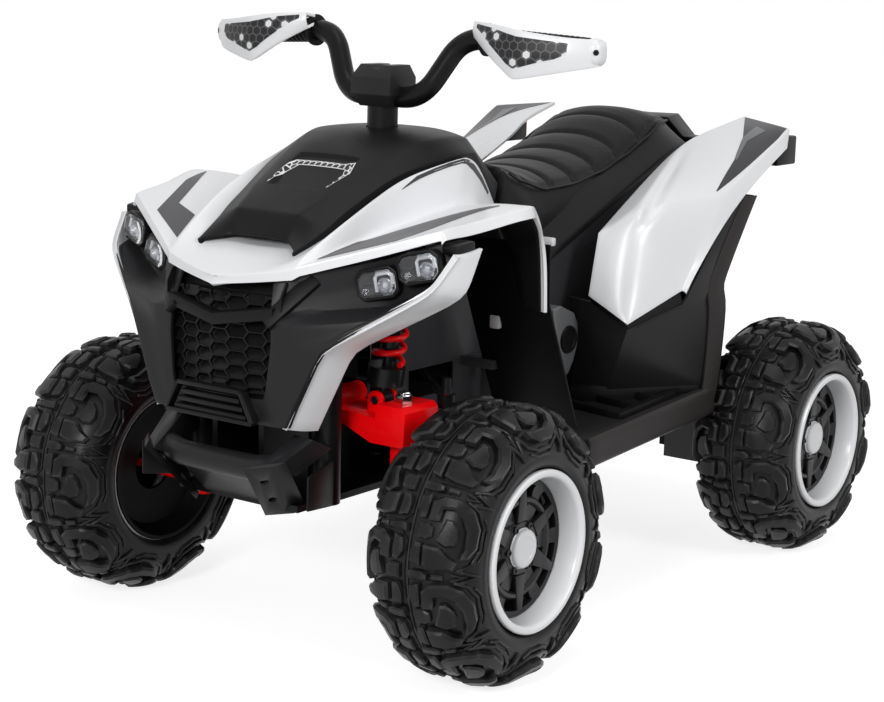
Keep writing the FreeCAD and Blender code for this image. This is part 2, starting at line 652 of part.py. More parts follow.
def hood_cover():
    """Dark cover along the top, with the column's hole and the two switch holes in its rear slope."""
    top_y = COVER_SLOPE_TOP.y - FRONT_Y
    top_z = COVER_SLOPE_TOP.z - AXLE_Z
    low_y = COVER_SLOPE_LOW.y - FRONT_Y
    low_z = COVER_SLOPE_LOW.z - AXLE_Z
    rows = [
        front_points((0, -80, 329), (22, -79, 328), (42, -77, 327), (74, -103, 320)),
        front_points((0, -65, 356), (25, -66, 356), (47, -66, 356), (83, -55, 343)),
        front_points((0, -13, 397), (35, -13, 396), (62, -13, 391), (86, -13, 366)),
        front_points((0, 48, 444), (40, 48, 442), (72, 50, 431), (99, 55, 401)),
        front_points((0, 143, 448), (52, 143, 447), (98, 143, 441), (127, 143, 421)),
        front_points((0, top_y, top_z), (56, top_y, top_z), (96, 195, 435), (122, 180, 419)),
        front_points((0, low_y, low_z), (56, low_y, low_z), (88, 278, 372), (104, 250, 356)),
    ]
    skin = net_sheet([both_halves(row) for row in rows], PANEL_WALL)
    column = rod(front(0, STEER_Y, BAR_RISE - 90), front(0, STEER_Y, BAR_RISE), COLLAR_RADIUS + 1.5)
    button_start = slope_point(SWITCH_X, SWITCH_DOWN, -20)
    button = rod(button_start, button_start + SLOPE_OUT * 40, BUTTON_RADIUS + SEAT_GAP)
    rocker_wide = ROCKER_WIDTH / 2 + ROCKER_GAP
    rocker = slope_block(-SWITCH_X, SWITCH_DOWN, rocker_wide, ROCKER_HALF + ROCKER_GAP, -20, 20)
    return cut(skin, column, button, rocker, trunnion(RUN_FIT))


def slope_block(x, down, half_width, half_length, low, high):
    """A block standing square on the cover's rear slope."""
    corners = []
    for i, j in ((-1, -1), (1, -1), (1, 1), (-1, 1)):
        corners.append(slope_point(x + i * half_width, down + j * half_length, low))
    face = Part.Face(Part.makePolygon(corners + [corners[0]]))
    return face.extrude(SLOPE_OUT * (high - low))


def trunnion(grow):
    """The rocker's cross pin, inside the cover's wall."""
    reach = TRUNNION_REACH + grow
    depth = -PANEL_WALL / 2
    start = slope_point(-SWITCH_X - reach, SWITCH_DOWN, depth)
    return rod(start, slope_point(reach - SWITCH_X, SWITCH_DOWN, depth), TRUNNION_RADIUS + grow)


def power_button():
    """Round push button in the cover's rear slope."""
    start = slope_point(SWITCH_X, SWITCH_DOWN, -12)
    return rod(start, start + SLOPE_OUT * BUTTON_LENGTH, BUTTON_RADIUS)


def direction_rocker():
    """Forward and reverse rocker in the cover's rear slope."""
    key = slope_block(-SWITCH_X, SWITCH_DOWN, ROCKER_WIDTH / 2, ROCKER_HALF, -PANEL_WALL, PANEL_WALL)
    return fused(key, trunnion(0))


def trim():
    """Left white trim that frames the front mask."""
    edge = front_points((255, -45, 330), (244, -77, 291), (138, -139, 219), (96, -146, 126))
    back = front_points((263, -2, 334), (257, -24, 279), (150, -86, 213), (110, -99, 118))
    return net_sheet([back, edge], PANEL_WALL + 2)


def front_mask(trims):
    """Dark mask between the trims, with the grille's opening and the lamp ledges."""
    rows = [
        front_points((0, -150, 279), (70, -133, 289), (98, -120, 296), (172, -72, 315), (227, -42, 336)),
        front_points((0, -152, 262), (74, -141, 262), (106, -122, 272), (173, -76, 292), (236, -54, 314)),
        front_points((0, -153, 250), (76, -144, 246), (112, -140, 244), (188, -110, 256), (246, -77, 291)),
        front_points((0, -154, 216), (77, -145, 216), (100, -143, 217), (118, -141, 218), (141, -139, 219)),
        front_points((0, -154, 156), (70, -147, 154), (80, -147, 153), (92, -146, 152), (110, -146, 151)),
        front_points((0, -152, 126), (62, -148, 126), (72, -147, 126), (83, -147, 126), (99, -146, 127)),
    ]
    grille_hole = {(r, c) for r in (0, 1, 2, 3) for c in (3, 4)}
    skin = net_sheet([both_halves(row) for row in rows], PANEL_WALL, grille_hole)
    pockets = [lamp_block(place, SEAT_GAP) for place in LAMP_PLACES]
    skin = cut(skin, trims, *pockets, *[mirrored(pocket) for pocket in pockets])
    return max(skin.Solids, key=lambda s: s.Volume)


def grille():
    """Dark mesh panel, folded along the middle, with a V bar across it."""
    rows = [
        front_points((0, -146, 268), (70, -134, 274)),
        front_points((0, -148, 216), (74, -138, 214)),
        front_points((0, -147, 158), (67, -140, 157)),
    ]
    mesh = net_sheet([both_halves(row) for row in rows], 3)
    bar_rows = [
        front_points((0, -160, 243), (72, -148, 255)),
        front_points((0, -161, 229), (72, -149, 241)),
    ]
    bar = net_sheet([both_halves(row) for row in bar_rows], 14)
    return fused(mesh, bar)


LAMP_PLACES = ((175, -74, 292), (222, -58, 311))


def lamp_block(place, grow):
    """One lamp: a chamfered block that faces forwards and a little outwards."""
    x, y, z = place
    wide = 21 + grow
    high = 13 + grow
    outline = [(-wide, -high), (wide - 6, -high), (wide, 8 - high)]
    outline += [(wide, high), (6 - wide, high), (-wide, high - 8)]
    across = V(math.cos(math.radians(24)), math.sin(math.radians(24)), 0.22).normalize()
    corners = [front(x, y - 16 - grow, z) + across * a + Z_AXIS * b for a, b in outline]
    face = Part.Face(Part.makePolygon(corners + [corners[0]]))
    return face.extrude(V(-10, 36 + 2 * grow, 0))


def bumper_plate():
    """Left slanted bumper plate with two screw slots, and the arm that runs back to the frame post."""
    face = front_points((76, -188, 84), (99, -165, 86), (77, -101, 15), (54, -124, 13))
    plate = prism(face, V(8, 14, 4))
    arm_face = front_points((78, -172, 80), (100, -158, 84), (114, -112, 110), (86, -112, 112))
    upper = prism(arm_face, V(0, 34, -16))
    slots = []
    for share in (0.3, 0.68):
        middle = (face[0] + face[1]) * 0.5 * (1 - share) + (face[2] + face[3]) * 0.5 * share
        normal = (face[1] - face[0]).cross(face[3] - face[0]).normalize()
        slots.append(rod(middle - normal * 12, middle + normal * 6, 5))
    return cut(fused(plate, upper), *slots)


def front_bumper(frame):
    """Moulded bumper: two plates, the fat tube between them and the skid below."""
    left = bumper_plate()
    line = front_points((-82, -138, 78), (-56, -146, 74), (56, -146, 74), (82, -138, 78))
    tube = bent_tube(line, 30, 15)
    skid_face = front_points((-58, -146, 62), (58, -146, 62), (50, -112, 24), (-50, -112, 24))
    skid = prism(skid_face, V(0, 5, 6))
    return cut(fused(left, mirrored(left), tube, skid), frame)


def splash_guard():
    """Left dark sheet behind the front tyre."""
    rows = [
        front_points((118, 172, 318), (236, 176, 318)),
        front_points((118, 174, 244), (238, 176, 244)),
        front_points((118, 247, 80), (240, 247, 80)),
    ]
    return net_sheet(rows, PANEL_WALL)


def arch_y(height):
    """How far ahead of the rear axle the tyre arch stands at a height above the axle."""
    return -math.sqrt(max(ARCH_R ** 2 - height ** 2, 0.0))


def footboard():
    """Left footboard: a tray with a deep outer strip, from the front splash guard back to the rear arch."""
    inside = TUB_HALF + PANEL_GAP
    top = [
        front(inside, FOOT_FRONT, FOOT_RISE), front(FOOT_EDGE, FOOT_FRONT, FOOT_RISE),
        rear(FOOT_EDGE, FOOT_BACK, FOOT_BACK_RISE), rear(inside, FOOT_BACK, FOOT_BACK_RISE),
    ]
    wall = PANEL_WALL
    insets = (V(-wall, wall, -wall), V(-wall, wall, -wall), V(-wall, -wall, -wall), V(-wall, -wall, -wall))
    room = [corner + inset for corner, inset in zip(top, insets)]
    drop = V(0, 0, -FOOT_DEPTH)
    return prism(top, drop).cut(prism(room, drop))


FOOT_BACK = arch_y(72) - 2
FOOT_SLOPE = (FOOT_BACK_RISE - FOOT_RISE) / (REAR_Y + FOOT_BACK - FRONT_Y - FOOT_FRONT)
PEDAL_HALF = 24.0
PEDAL_LENGTH = 95.0
PEDAL_THICK = 6.0
PEDAL_ANGLE = 35.0
PEDAL_SHARE = 0.285
PEDAL_X = 185.0
PEDAL_Y = FOOT_FRONT + PEDAL_SHARE * (REAR_Y + FOOT_BACK - FRONT_Y - FOOT_FRONT)
PEDAL_PIVOT = front(-PEDAL_X, PEDAL_Y, FOOT_RISE + FOOT_SLOPE * (PEDAL_Y - FOOT_FRONT) + 9)


def pedal_ears():
    """Two ears on the right footboard that hold the pedal's pin."""
    ears = []
    for x in (-PEDAL_HALF - 6, PEDAL_HALF + 1):
        low = PEDAL_PIVOT + V(x, -8, -10.5)
        ears.append(box(low, low + V(5, 16, 18)))
    bore = rod(PEDAL_PIVOT - V(60, 0, 0), PEDAL_PIVOT + V(60, 0, 0), PIN_RADIUS + RUN_FIT)
    return [ear.cut(bore) for ear in ears]


def accelerator_pedal():
    """Foot pedal on the right footboard, hinged at its lower end."""
    half = V(PEDAL_HALF, 0, 0)
    barrel = rod(PEDAL_PIVOT - half, PEDAL_PIVOT + half, 7)
    low = PEDAL_PIVOT + V(-PEDAL_HALF, -PEDAL_LENGTH, -PEDAL_THICK / 2)
    plate = Part.makeBox(2 * PEDAL_HALF, PEDAL_LENGTH, PEDAL_THICK, low)
    plate.rotate(PEDAL_PIVOT, X_AXIS, -PEDAL_ANGLE)
    bore = rod(PEDAL_PIVOT - half * 2, PEDAL_PIVOT + half * 2, PIN_RADIUS + RUN_FIT)
    return fused(barrel, plate).cut(bore)


def rear_fender():
    """Left white rear fender: front face with its lower point, ridge, top and outer lip."""
    points = rear_points(
        (152, -309, 301), (132, -93, 396), (150, -46, 417), (162, 58, 437), (251, 28, 428),
        (243, -145, 344), (242, -174, 319), (240, -235, 227), (215, -330, 190), (158, -337, 222),
        (200, -275, 343), (207, -293, 319), (255, 15, 401), (252, -133, 331), (249, -240, 217))
    faces = [
        (0, 9, 8, 11), (0, 11, 10), (0, 10, 1), (1, 10, 2), (2, 10, 5, 4), (2, 4, 3),
        (10, 11, 6, 5), (11, 8, 7, 6), (5, 13, 12, 4), (6, 13, 5), (7, 14, 13, 6),
    ]
    return sheet(points, faces, PANEL_WALL)


PANEL_TOE_SHARE = 320.0 / 730.0


def rear_side_panel():
    """Left dark panel below the rear fender: side, flare along the arch, and arch wall back to the tub."""
    low = 92
    toe = PANEL_TOE_SHARE * WHEELBASE
    points = rear_points(
        (126, -332, 216), (157, -334, 214), (213, -327, 182), (246, -240, 209), (249, -140, 318),
        (252, -98, 340), (128, -toe, low), (170, 20 - toe, low), (248, arch_y(low) - 30, low),
        (256, arch_y(low) - 4, low),
        (258, -146, 200), (256, -157, 229), (256, -118, 282), (256, -72, 340), (248, -190, 205))
    faces = [
        (0, 6, 7, 1), (1, 7, 2), (2, 7, 8), (2, 8, 14, 3), (8, 9, 10, 14),
        (14, 10, 11, 3), (3, 11, 12, 4), (4, 12, 13, 5),
    ]
    side = sheet(points, faces, PANEL_WALL)
    edge = [V(p.x - PANEL_WALL / 2, p.y, p.z) for p in points[9:14]]
    foot = [V(TUB_HALF + PANEL_GAP, p.y, p.z) for p in edge]
    arch_wall = net_sheet([edge, foot], PANEL_WALL)
    return fused(side, arch_wall)


SEAT_SLOPE = 0.397
SEAT_BASE_Y = -317.0
SEAT_BASE_RISE = 291.0
SEAT_BASE_TOP = 394.0
SEAT_BEND_Y = SEAT_BASE_Y + (SEAT_BASE_TOP - SEAT_BASE_RISE) / SEAT_SLOPE
SEAT_STATIONS = (
    (-432, 387, 401, 82), (-400, 372, 387, 85), (-345, 357, 375, 87), (-280, 359, 378, 88),
    (-210, 371, 391, 88), (-150, 389, 410, 88), (-93, 411, 434, 88), (-50, 429, 446, 84),
    (-18, 431, 442, 76), (4, 424, 432, 62))


def seat_floor(y):
    """Height of the seat's underside, y from the rear axle."""
    return min(SEAT_BASE_RISE + SEAT_SLOPE * (y - SEAT_BASE_Y), SEAT_BASE_TOP)


def seat_station(y):
    """Edge height, crown height and half width of the seat at a place along it."""
    for a, b in zip(SEAT_STATIONS, SEAT_STATIONS[1:]):
        if a[0] <= y <= b[0]:
            share = (y - a[0]) / (b[0] - a[0])
            return [a[i] + (b[i] - a[i]) * share for i in (1, 2, 3)]
    return list(SEAT_STATIONS[-1][1:])


def seat_section(y, sink):
    """Closed outline across the seat: flat base, drawn-in sides and a crowned top."""
    edge, crown, half = seat_station(y)
    base = seat_floor(y) + SEAT_GAP
    foot = half + 12 * min(1.0, (edge - base) / 60)
    pinch = (half + foot) / 2 - 3
    level = (edge + base) / 2
    low_left = rear(-foot, y, base)
    low_right = rear(foot, y, base)
    top_right = rear(half, y, edge - sink / 3)
    top_left = rear(-half, y, edge - sink / 3)
    edges = [
        Part.LineSegment(low_left, low_right),
        Part.Arc(low_right, rear(pinch, y, level), top_right),
        Part.Arc(top_right, rear(0, y, crown - sink), top_left),
        Part.Arc(top_left, rear(-pinch, y, level), low_left),
    ]
    return Part.Wire([e.toShape() for e in edges])


def seat():
    """Saddle cushion with crown, drawn-in sides and sewn channels across it."""
    first = SEAT_STATIONS[0][0]
    last = SEAT_STATIONS[-1][0]
    pitch = 55.0
    start = first + 55.0
    stops = [(first, 0), (last, 0), (SEAT_BEND_Y, 0), (SEAT_STATIONS[-2][0], 0), (SEAT_STATIONS[-3][0], 0)]
    for i in range(SEAT_CHANNELS):
        middle = start + i * pitch
        stops += [(middle - CHANNEL_HALF, 0), (middle, CHANNEL_DEPTH), (middle + CHANNEL_HALF, 0)]
    sections = [seat_section(y, sink) for y, sink in sorted(stops)]
    return Part.makeLoft(sections, True, True)


def rear_cover():
    """Dark deck behind the seat and the panel below it."""
    rows = [
        rear_points((0, 14, 428), (60, 14, 428), (88, 14, 402), (132, 14, 400)),
        rear_points((0, 66, 431), (48, 66, 431), (77, 66, 402), (142, 66, 402)),
        rear_points((0, 74, 330), (48, 74, 330), (77, 73, 330), (142, 72, 330)),
    ]
    return net_sheet([both_halves(row) for row in rows], PANEL_WALL)


def tail_lamp(fender):
    """Left tail lamp, under the fender's rear tip."""
    block = box(rear(212, 2, 376), rear(248, 58, 416))
    return trimmed(block, fender, rear(230, 30, 376))


def rear_axle():
    """One steel rod through both rear wheels, with a nut at each end."""
    left = rear(TRACK / 2, 0, 0)
    right = rear(-TRACK / 2, 0, 0)
    reach = V(DISC_OUT + 2 + PANEL_GAP + NUT_LENGTH, 0, 0)
    nut = axle_end(left)
    return fused(rod(right - reach, left + reach, AXLE_R), nut, mirrored(nut))


MOTOR_Y = -36.0
MOTOR_RADIUS = 22.0


def gear_motor():
    """Left gearbox round the rear axle, with its motor on the inside."""
    case = box(rear(MOTOR_X, -70, -46), rear(TYRE_IN - 12, 46, 50))
    neck = rod(rear(MOTOR_X, 0, 0), rear(TRACK / 2 - HUB_BACK - PANEL_GAP, 0, 0), 24)
    motor = rod(rear(MOTOR_X - 48, MOTOR_Y, 4), rear(MOTOR_X + 5, MOTOR_Y, 4), MOTOR_RADIUS)
    bore = rod(rear(0, 0, 0), rear(TRACK, 0, 0), AXLE_R + RUN_FIT)
    return fused(case, neck, motor).cut(bore)


def battery():
    """Sealed battery on the floor pan."""
    return box(front(-62, 330, PAN_TOP + SEAT_GAP), front(62, 480, PAN_TOP + 95))


def main_frame(skins):
    """Floor pan with bulkhead, steering tower, shock towers, posts under the skins and rear axle plates."""
    floor = box(front(-PAN_HALF, -112, PAN_RISE), rear(PAN_HALF, 48, PAN_TOP))
    bulkhead = box(front(-BULKHEAD_HALF, -112, PAN_TOP), front(BULKHEAD_HALF, 50, PIVOT_RISE + 34))
    pocket = box(front(8 - BULKHEAD_HALF, -113, PAN_TOP), front(BULKHEAD_HALF - 8, 20, PIVOT_RISE + 26))
    column = box(front(-BULKHEAD_HALF, 22, PIVOT_RISE), front(BULKHEAD_HALF, 60, 380))
    top_plate = box(front(-BULKHEAD_HALF, 22, 361), front(BULKHEAD_HALF, STEER_Y + 26, 386))
    low_plate = box(front(-30, 30, PIVOT_RISE - 56), front(30, STEER_Y + 20, PIVOT_RISE - 44))
    grille_stay = box(front(-12, -160, PIVOT_RISE + 25), front(12, -108, PIVOT_RISE + 37))
    grille_stay = trimmed(grille_stay, skins["grille"], front(0, -108, PIVOT_RISE + 31))
    pieces = [floor, bulkhead.cut(pocket), column, top_plate, low_plate, grille_stay]
    side = frame_side(skins)
    pieces += side + [mirrored(piece) for piece in side]
    return cut(fused(*pieces), *frame_holes())


def frame_side(skins):
    """Left half of the frame's ears, towers and posts, each skin's post cut off where it meets the skin."""
    ears = []
    for y in (-ARM_HALF_DEPTH - 10, ARM_HALF_DEPTH + 4):
        low = front(BULKHEAD_HALF - 10, y, PIVOT_RISE - 14)
        ears.append(box(low, front(PIVOT_X + 12, y + 6, PIVOT_RISE + 14)))
    tower_top = SHOCK_TOP_RISE + 36
    tower_end = SHOCK_X + SHOCK_LEAN + 32
    tower_low = front(BULKHEAD_HALF - 10, SHOCK_Y - 20, SHOCK_TOP_RISE + 24)
    tower = box(tower_low, front(tower_end, SHOCK_Y + 46, tower_top))
    cheeks = []
    for y in (-EAR_GAP - EAR_THICK, EAR_GAP):
        low = SHOCK_TOP + V(-12, y, -12)
        cheeks.append(box(low, SHOCK_TOP + V(12, y + EAR_THICK, 28)))
    post = rod(front(95, -68, 25), front(95, -68, 232), 19)
    tie = box(front(0, -112, PIVOT_RISE - 4), front(95, -62, PIVOT_RISE + 38))
    plate = box(rear(MOTOR_X - 8, -70, PAN_RISE - 50), rear(MOTOR_X - PANEL_GAP, 48, 96))
    web = box(rear(40, -70, PAN_RISE), rear(MOTOR_X - PANEL_GAP, 48, PAN_TOP))
    stay_low = front(tower_end - 24, SHOCK_Y + 16, tower_top - 2)
    posts = [
        (stay_low, stay_low + V(18, 20, 82), skins["hood"]),
        (front(20, -110, PIVOT_RISE + 30), front(32, -96, PIVOT_RISE + 220), skins["hood"]),
        (front(24, 80, 380), front(36, 100, 470), skins["hood_cover"]),
    ]
    pieces = ears + [tower] + cheeks + [post, tie, plate, web]
    for low, high, skin in posts:
        pieces.append(trimmed(box(low, high), skin, low))
    mask_stay = box(front(78, -165, PIVOT_RISE), front(90, -108, PIVOT_RISE + 14))
    pieces.append(trimmed(mask_stay, skins["front_mask"], front(84, -108, PIVOT_RISE + 7)))
    return pieces


def frame_holes():
    """Bores for the column, the rear axle, both motors and the left and right pins."""
    pivot = rod(front(PIVOT_X, -90, PIVOT_RISE), front(PIVOT_X, 90, PIVOT_RISE), PIVOT_RADIUS + RUN_FIT)
    shock_bore = rod(SHOCK_TOP - V(0, 30, 0), SHOCK_TOP + V(0, 30, 0), PIVOT_RADIUS + RUN_FIT)
    return [
        rod(front(0, STEER_Y, 0), front(0, STEER_Y, BAR_RISE), STEER_RADIUS + RUN_FIT),
        rod(rear(-TRACK, 0, 0), rear(TRACK, 0, 0), AXLE_R + RUN_FIT),
        rod(rear(-TRACK, MOTOR_Y, 4), rear(TRACK, MOTOR_Y, 4), MOTOR_RADIUS + PANEL_GAP),
        pivot, mirrored(pivot), shock_bore, mirrored(shock_bore),
    ]


def frame_pins():
    """Pivot pins of the arms, top pins of the shocks and the pedal's pin."""
    arm_reach = ARM_HALF_DEPTH + 12
    arm_pin = rod(front(PIVOT_X, -arm_reach, PIVOT_RISE), front(PIVOT_X, arm_reach, PIVOT_RISE), PIVOT_RADIUS)
    shock_reach = V(0, EAR_GAP + EAR_THICK + 2, 0)
    shock_pin = rod(SHOCK_TOP - shock_reach, SHOCK_TOP + shock_reach, PIVOT_RADIUS)
    reach = V(PEDAL_HALF + 8, 0, 0)
    pedal_pin = rod(PEDAL_PIVOT - reach, PEDAL_PIVOT + reach, PIN_RADIUS)
    return Part.makeCompound([arm_pin, mirrored(arm_pin), shock_pin, mirrored(shock_pin), pedal_pin])


def tub_outline(inset):
    """Side view of the tub, drawn in by inset, from its front foot over the seat's base to its rear foot."""
    ahead = TUB_FRONT + inset
    brow = seat_floor(TUB_BROW_Y) - inset
    foot = PAN_TOP + SEAT_GAP - inset * TUB_OPEN
    step = TUB_STEP_RISE - inset * TUB_OPEN
    return [
        front(0, ahead, foot), front(0, ahead, brow), rear(0, TUB_BROW_Y, brow),
        rear(0, SEAT_BEND_Y, SEAT_BASE_TOP - inset), rear(0, TUB_BACK - inset, SEAT_BASE_TOP - inset),
        rear(0, TUB_BACK - inset, step), rear(0, TUB_STEP_Y - inset, step), rear(0, TUB_STEP_Y - inset, foot),
    ]


def tub(skins):
    """Central tub under the seat, with inner walls beside the steering and stays out to the panels."""
    outer = side_profile(tub_outline(0), -TUB_HALF, TUB_HALF)
    room = side_profile(tub_outline(TUB_WALL), TUB_WALL - TUB_HALF, TUB_HALF - TUB_WALL)
    pieces = [outer.cut(room)]
    wall_x = PAN_HALF - 6
    wall = box(front(wall_x, 72, PAN_TOP + SEAT_GAP), front(wall_x + 4, TUB_FRONT + 2, 281))
    slot = box(front(wall_x - 1, 98, PIVOT_RISE - 18), front(wall_x + 5, 190, PIVOT_RISE + 18))
    stays = [wall.cut(slot)]
    inside = TUB_HALF - 2
    fender_stay = box(rear(inside, -200, 296), rear(FOOT_EDGE, -184, 308))
    stays.append(trimmed(fender_stay, skins["left_rear_fender"], rear(inside, -192, 302)))
    panel_stay = box(rear(inside, -216, 128), rear(FOOT_EDGE + 10, -200, 140))
    stays.append(trimmed(panel_stay, skins["rear_side_panels"], rear(inside, -208, 134)))
    guard_stay = box(front(wall_x + 2, 204, 148), front(140, 236, 160))
    stays.append(trimmed(guard_stay, skins["splash_guards"], front(wall_x, 236, 154)))
    for stay in stays:
        pieces += [stay, mirrored(stay)]
    deck_post = box(rear(-20, 20, SEAT_BASE_TOP - 2), rear(20, 38, SEAT_BASE_TOP + 50))
    pieces.append(trimmed(deck_post, skins["rear_cover"], rear(0, 29, SEAT_BASE_TOP)))
    return fused(*pieces)


PARTS = {}


def add(name, shape):
    PARTS[name] = shape


def add_pair(name, shape):
    """A left piece and its mirror image on the right, each as its own node."""
    add("left_" + name, shape)
    add("right_" + name, mirrored(shape))


def add_both(name, shape):
    """A left piece and its mirror image in one node."""
    add(name, Part.makeCompound([shape, mirrored(shape)]))


for end, place in (("front", front), ("rear", rear)):
    centre = place(TRACK / 2, 0, 0)
    for piece in (tyre, rim, spokes, hub_cap):
        left = piece(centre)
        add(end + "_left_" + piece.__name__, left)
        add(end + "_right_" + piece.__name__, mirrored(left))

add_pair("knuckle", knuckle())
add_pair("kingpin", kingpin())
add_pair("arm", arm())
add_pair("shock_rod", shock_rod())
add_pair("shock_tube", shock_tube())
add_pair("spring", spring())
add_pair("tie_rod", tie_rod())
add_pair("hand_guard", hand_guard())
add_both("grips", grip())
add("steering_shaft", steering_shaft())
add("handlebar", handlebar())
add("handlebar_clamp", clamp_block())
add("hood", hood())
add("hood_cover", hood_cover())
add("power_button", power_button())
add("direction_rocker", direction_rocker())
add_both("mask_trims", trim())
add_both("headlights", Part.makeCompound([lamp_block(place, 0) for place in LAMP_PLACES]))
add("front_mask", front_mask(PARTS["mask_trims"]))
add("grille", grille())
add_both("splash_guards", splash_guard())
left_board = footboard()
add("footboards", Part.makeCompound([left_board, fused(mirrored(left_board), *pedal_ears())]))
add("accelerator_pedal", accelerator_pedal())
add_pair("rear_fender", rear_fender())
add_both("rear_side_panels", rear_side_panel())
add("seat", seat())
add("rear_cover", rear_cover())
add_both("tail_lamps", tail_lamp(PARTS["left_rear_fender"]))
add("rear_axle", rear_axle())
add_both("gear_motors", gear_motor())
add("battery", battery())
add("main_frame", main_frame(PARTS))
add("frame_pins", frame_pins())
add("body_tub", tub(PARTS))
add("front_bumper", front_bumper(PARTS["main_frame"]))

os.makedirs("parts", exist_ok=True)
for name, shape in PARTS.items():
    if not shape.isValid():
        print("not valid:", name)
    shape.exportStep("parts/" + name + ".step")
print(len(PARTS), "nodes")
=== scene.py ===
import contextlib
import json
import math

import bpy
from mathutils import Matrix, Vector

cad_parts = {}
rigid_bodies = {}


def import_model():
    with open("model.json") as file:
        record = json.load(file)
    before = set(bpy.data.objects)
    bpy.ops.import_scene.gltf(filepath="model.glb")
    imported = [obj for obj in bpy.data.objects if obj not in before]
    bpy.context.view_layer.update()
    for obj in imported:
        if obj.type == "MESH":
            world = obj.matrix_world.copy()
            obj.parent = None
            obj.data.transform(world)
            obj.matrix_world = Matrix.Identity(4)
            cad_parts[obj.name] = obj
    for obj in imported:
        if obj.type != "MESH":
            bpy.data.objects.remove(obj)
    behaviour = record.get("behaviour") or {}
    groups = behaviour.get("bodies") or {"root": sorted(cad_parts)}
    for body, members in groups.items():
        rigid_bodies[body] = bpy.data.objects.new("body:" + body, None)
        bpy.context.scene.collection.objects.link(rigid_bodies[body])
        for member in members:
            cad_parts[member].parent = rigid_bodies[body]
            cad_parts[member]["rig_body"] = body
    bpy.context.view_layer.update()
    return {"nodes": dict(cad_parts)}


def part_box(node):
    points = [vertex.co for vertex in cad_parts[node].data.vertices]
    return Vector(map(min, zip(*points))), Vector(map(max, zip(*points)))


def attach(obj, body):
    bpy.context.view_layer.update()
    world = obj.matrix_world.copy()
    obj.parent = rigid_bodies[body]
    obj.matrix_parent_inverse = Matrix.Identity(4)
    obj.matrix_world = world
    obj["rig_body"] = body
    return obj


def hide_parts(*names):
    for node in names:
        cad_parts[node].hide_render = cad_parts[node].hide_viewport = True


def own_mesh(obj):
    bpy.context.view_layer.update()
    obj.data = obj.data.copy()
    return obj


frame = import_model()
bpy.ops.object.select_all(action="DESELECT")

MM = 0.001
MERGE = 1e-6
LEFT = 1
RIGHT = -1
SIDE_NAMES = {LEFT: "left", RIGHT: "right"}
MIRROR = Matrix.Scale(-1, 4, (1, 0, 0))
ON_SIDE = Matrix(((0, 0, 1, 0), (1, 0, 0, 0), (0, 1, 0, 0), (0, 0, 0, 1)))


def middle_of(node):
    low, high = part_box(node)
    return (low + high) / 2


FRONT_WHEEL = middle_of("front_left_rim")
REAR_WHEEL = middle_of("rear_left_rim")


def front(x, y, z):
    """A point from millimetres about the front axle's middle."""
    return Vector((x * MM, FRONT_WHEEL.y + y * MM, FRONT_WHEEL.z + z * MM))


def rear(x, y, z):
    """A point from millimetres about the rear axle's middle."""
    return Vector((x * MM, REAR_WHEEL.y + y * MM, REAR_WHEEL.z + z * MM))


def mm(*shift):
    return Vector(shift) * MM


def held(share):
    return max(0, min(1, share))


# Modelling helpers


def only(*pieces):
    """Selects the pieces alone, with the first one active."""
    bpy.ops.object.select_all(action="DESELECT")
    for piece in pieces:
        piece.select_set(True)
    bpy.context.view_layer.objects.active = pieces[0]


@contextlib.contextmanager
def editing(piece, wanted=None):
    """Opens the mesh with all of it selected, or only the faces that wanted(face) is true for."""
    only(piece)
    mesh = piece.data
    if wanted:
        for part in (mesh.vertices, mesh.edges, mesh.polygons):
            part.foreach_set("select", [False] * len(part))
        for face in mesh.polygons:
            face.select = bool(wanted(face))
    bpy.ops.object.mode_set(mode="EDIT")
    bpy.ops.mesh.select_mode(type="FACE" if wanted else "VERT")
    if not wanted:
        bpy.ops.mesh.select_all(action="SELECT")
    yield
    bpy.ops.object.mode_set(mode="OBJECT")


def faces_up(face):
    return face.normal.z > 0.9


def named(name, piece=None):
    piece = piece or bpy.context.object
    piece.name = name
    piece.data.name = name
    return piece


def linked(name, data):
    """A new object in the scene for a mesh, curve, lamp or camera."""
    item = bpy.data.objects.new(name, data)
    bpy.context.scene.collection.objects.link(item)
    return item


def finished(piece, kind, **settings):
    """Applies one modifier to the piece."""
    modifier = piece.modifiers.new(kind.title(), kind)
    for key, value in settings.items():
        setattr(modifier, key, value)
    only(piece)
    bpy.ops.object.modifier_apply(modifier=modifier.name)
    return piece


def thickened(piece, wall):
    """Adds a wall behind the outer face, in millimetres."""
    return finished(piece, "SOLIDIFY", thickness=wall * MM, offset=-1)


def discard(piece):
    bpy.data.objects.remove(piece)


def cut_out(piece, cutter):
    finished(piece, "BOOLEAN", object=cutter, operation="DIFFERENCE", solver="EXACT")
    discard(cutter)


def moved(piece, change):
    """Moves the piece's mesh by a matrix, or by a shift in metres."""
    piece.data.transform(change if isinstance(change, Matrix) else Matrix.Translation(change))
    return piece


def smooth(piece, angle=35):
    only(piece)
    bpy.ops.object.shade_smooth_by_angle(angle=math.radians(angle))
    return piece


def rounded(piece, width, angle=32, segments=2):
    """Bevels the edges sharper than the angle, by a width in millimetres."""
    finished(piece, "BEVEL", width=width * MM, segments=segments, limit_method="ANGLE",
             angle_limit=math.radians(angle), harden_normals=False)
    return smooth(piece, 38)


def subdivided(piece, levels):
    return finished(piece, "SUBSURF", levels=levels, render_levels=levels,
                    boundary_smooth="PRESERVE_CORNERS")


def outwards(piece, toward):
    """Turns an open sheet's faces so that most of them look along toward."""
    facing = Vector((0, 0, 0))
    for face in piece.data.polygons:
        facing += face.normal * face.area
    if facing.dot(Vector(toward)) < 0:
        with editing(piece):
            bpy.ops.mesh.flip_normals()
    return piece


def closed_outwards(piece):
    with editing(piece):
        bpy.ops.mesh.remove_doubles(threshold=MERGE)
        bpy.ops.mesh.normals_make_consistent(inside=False)
    return piece


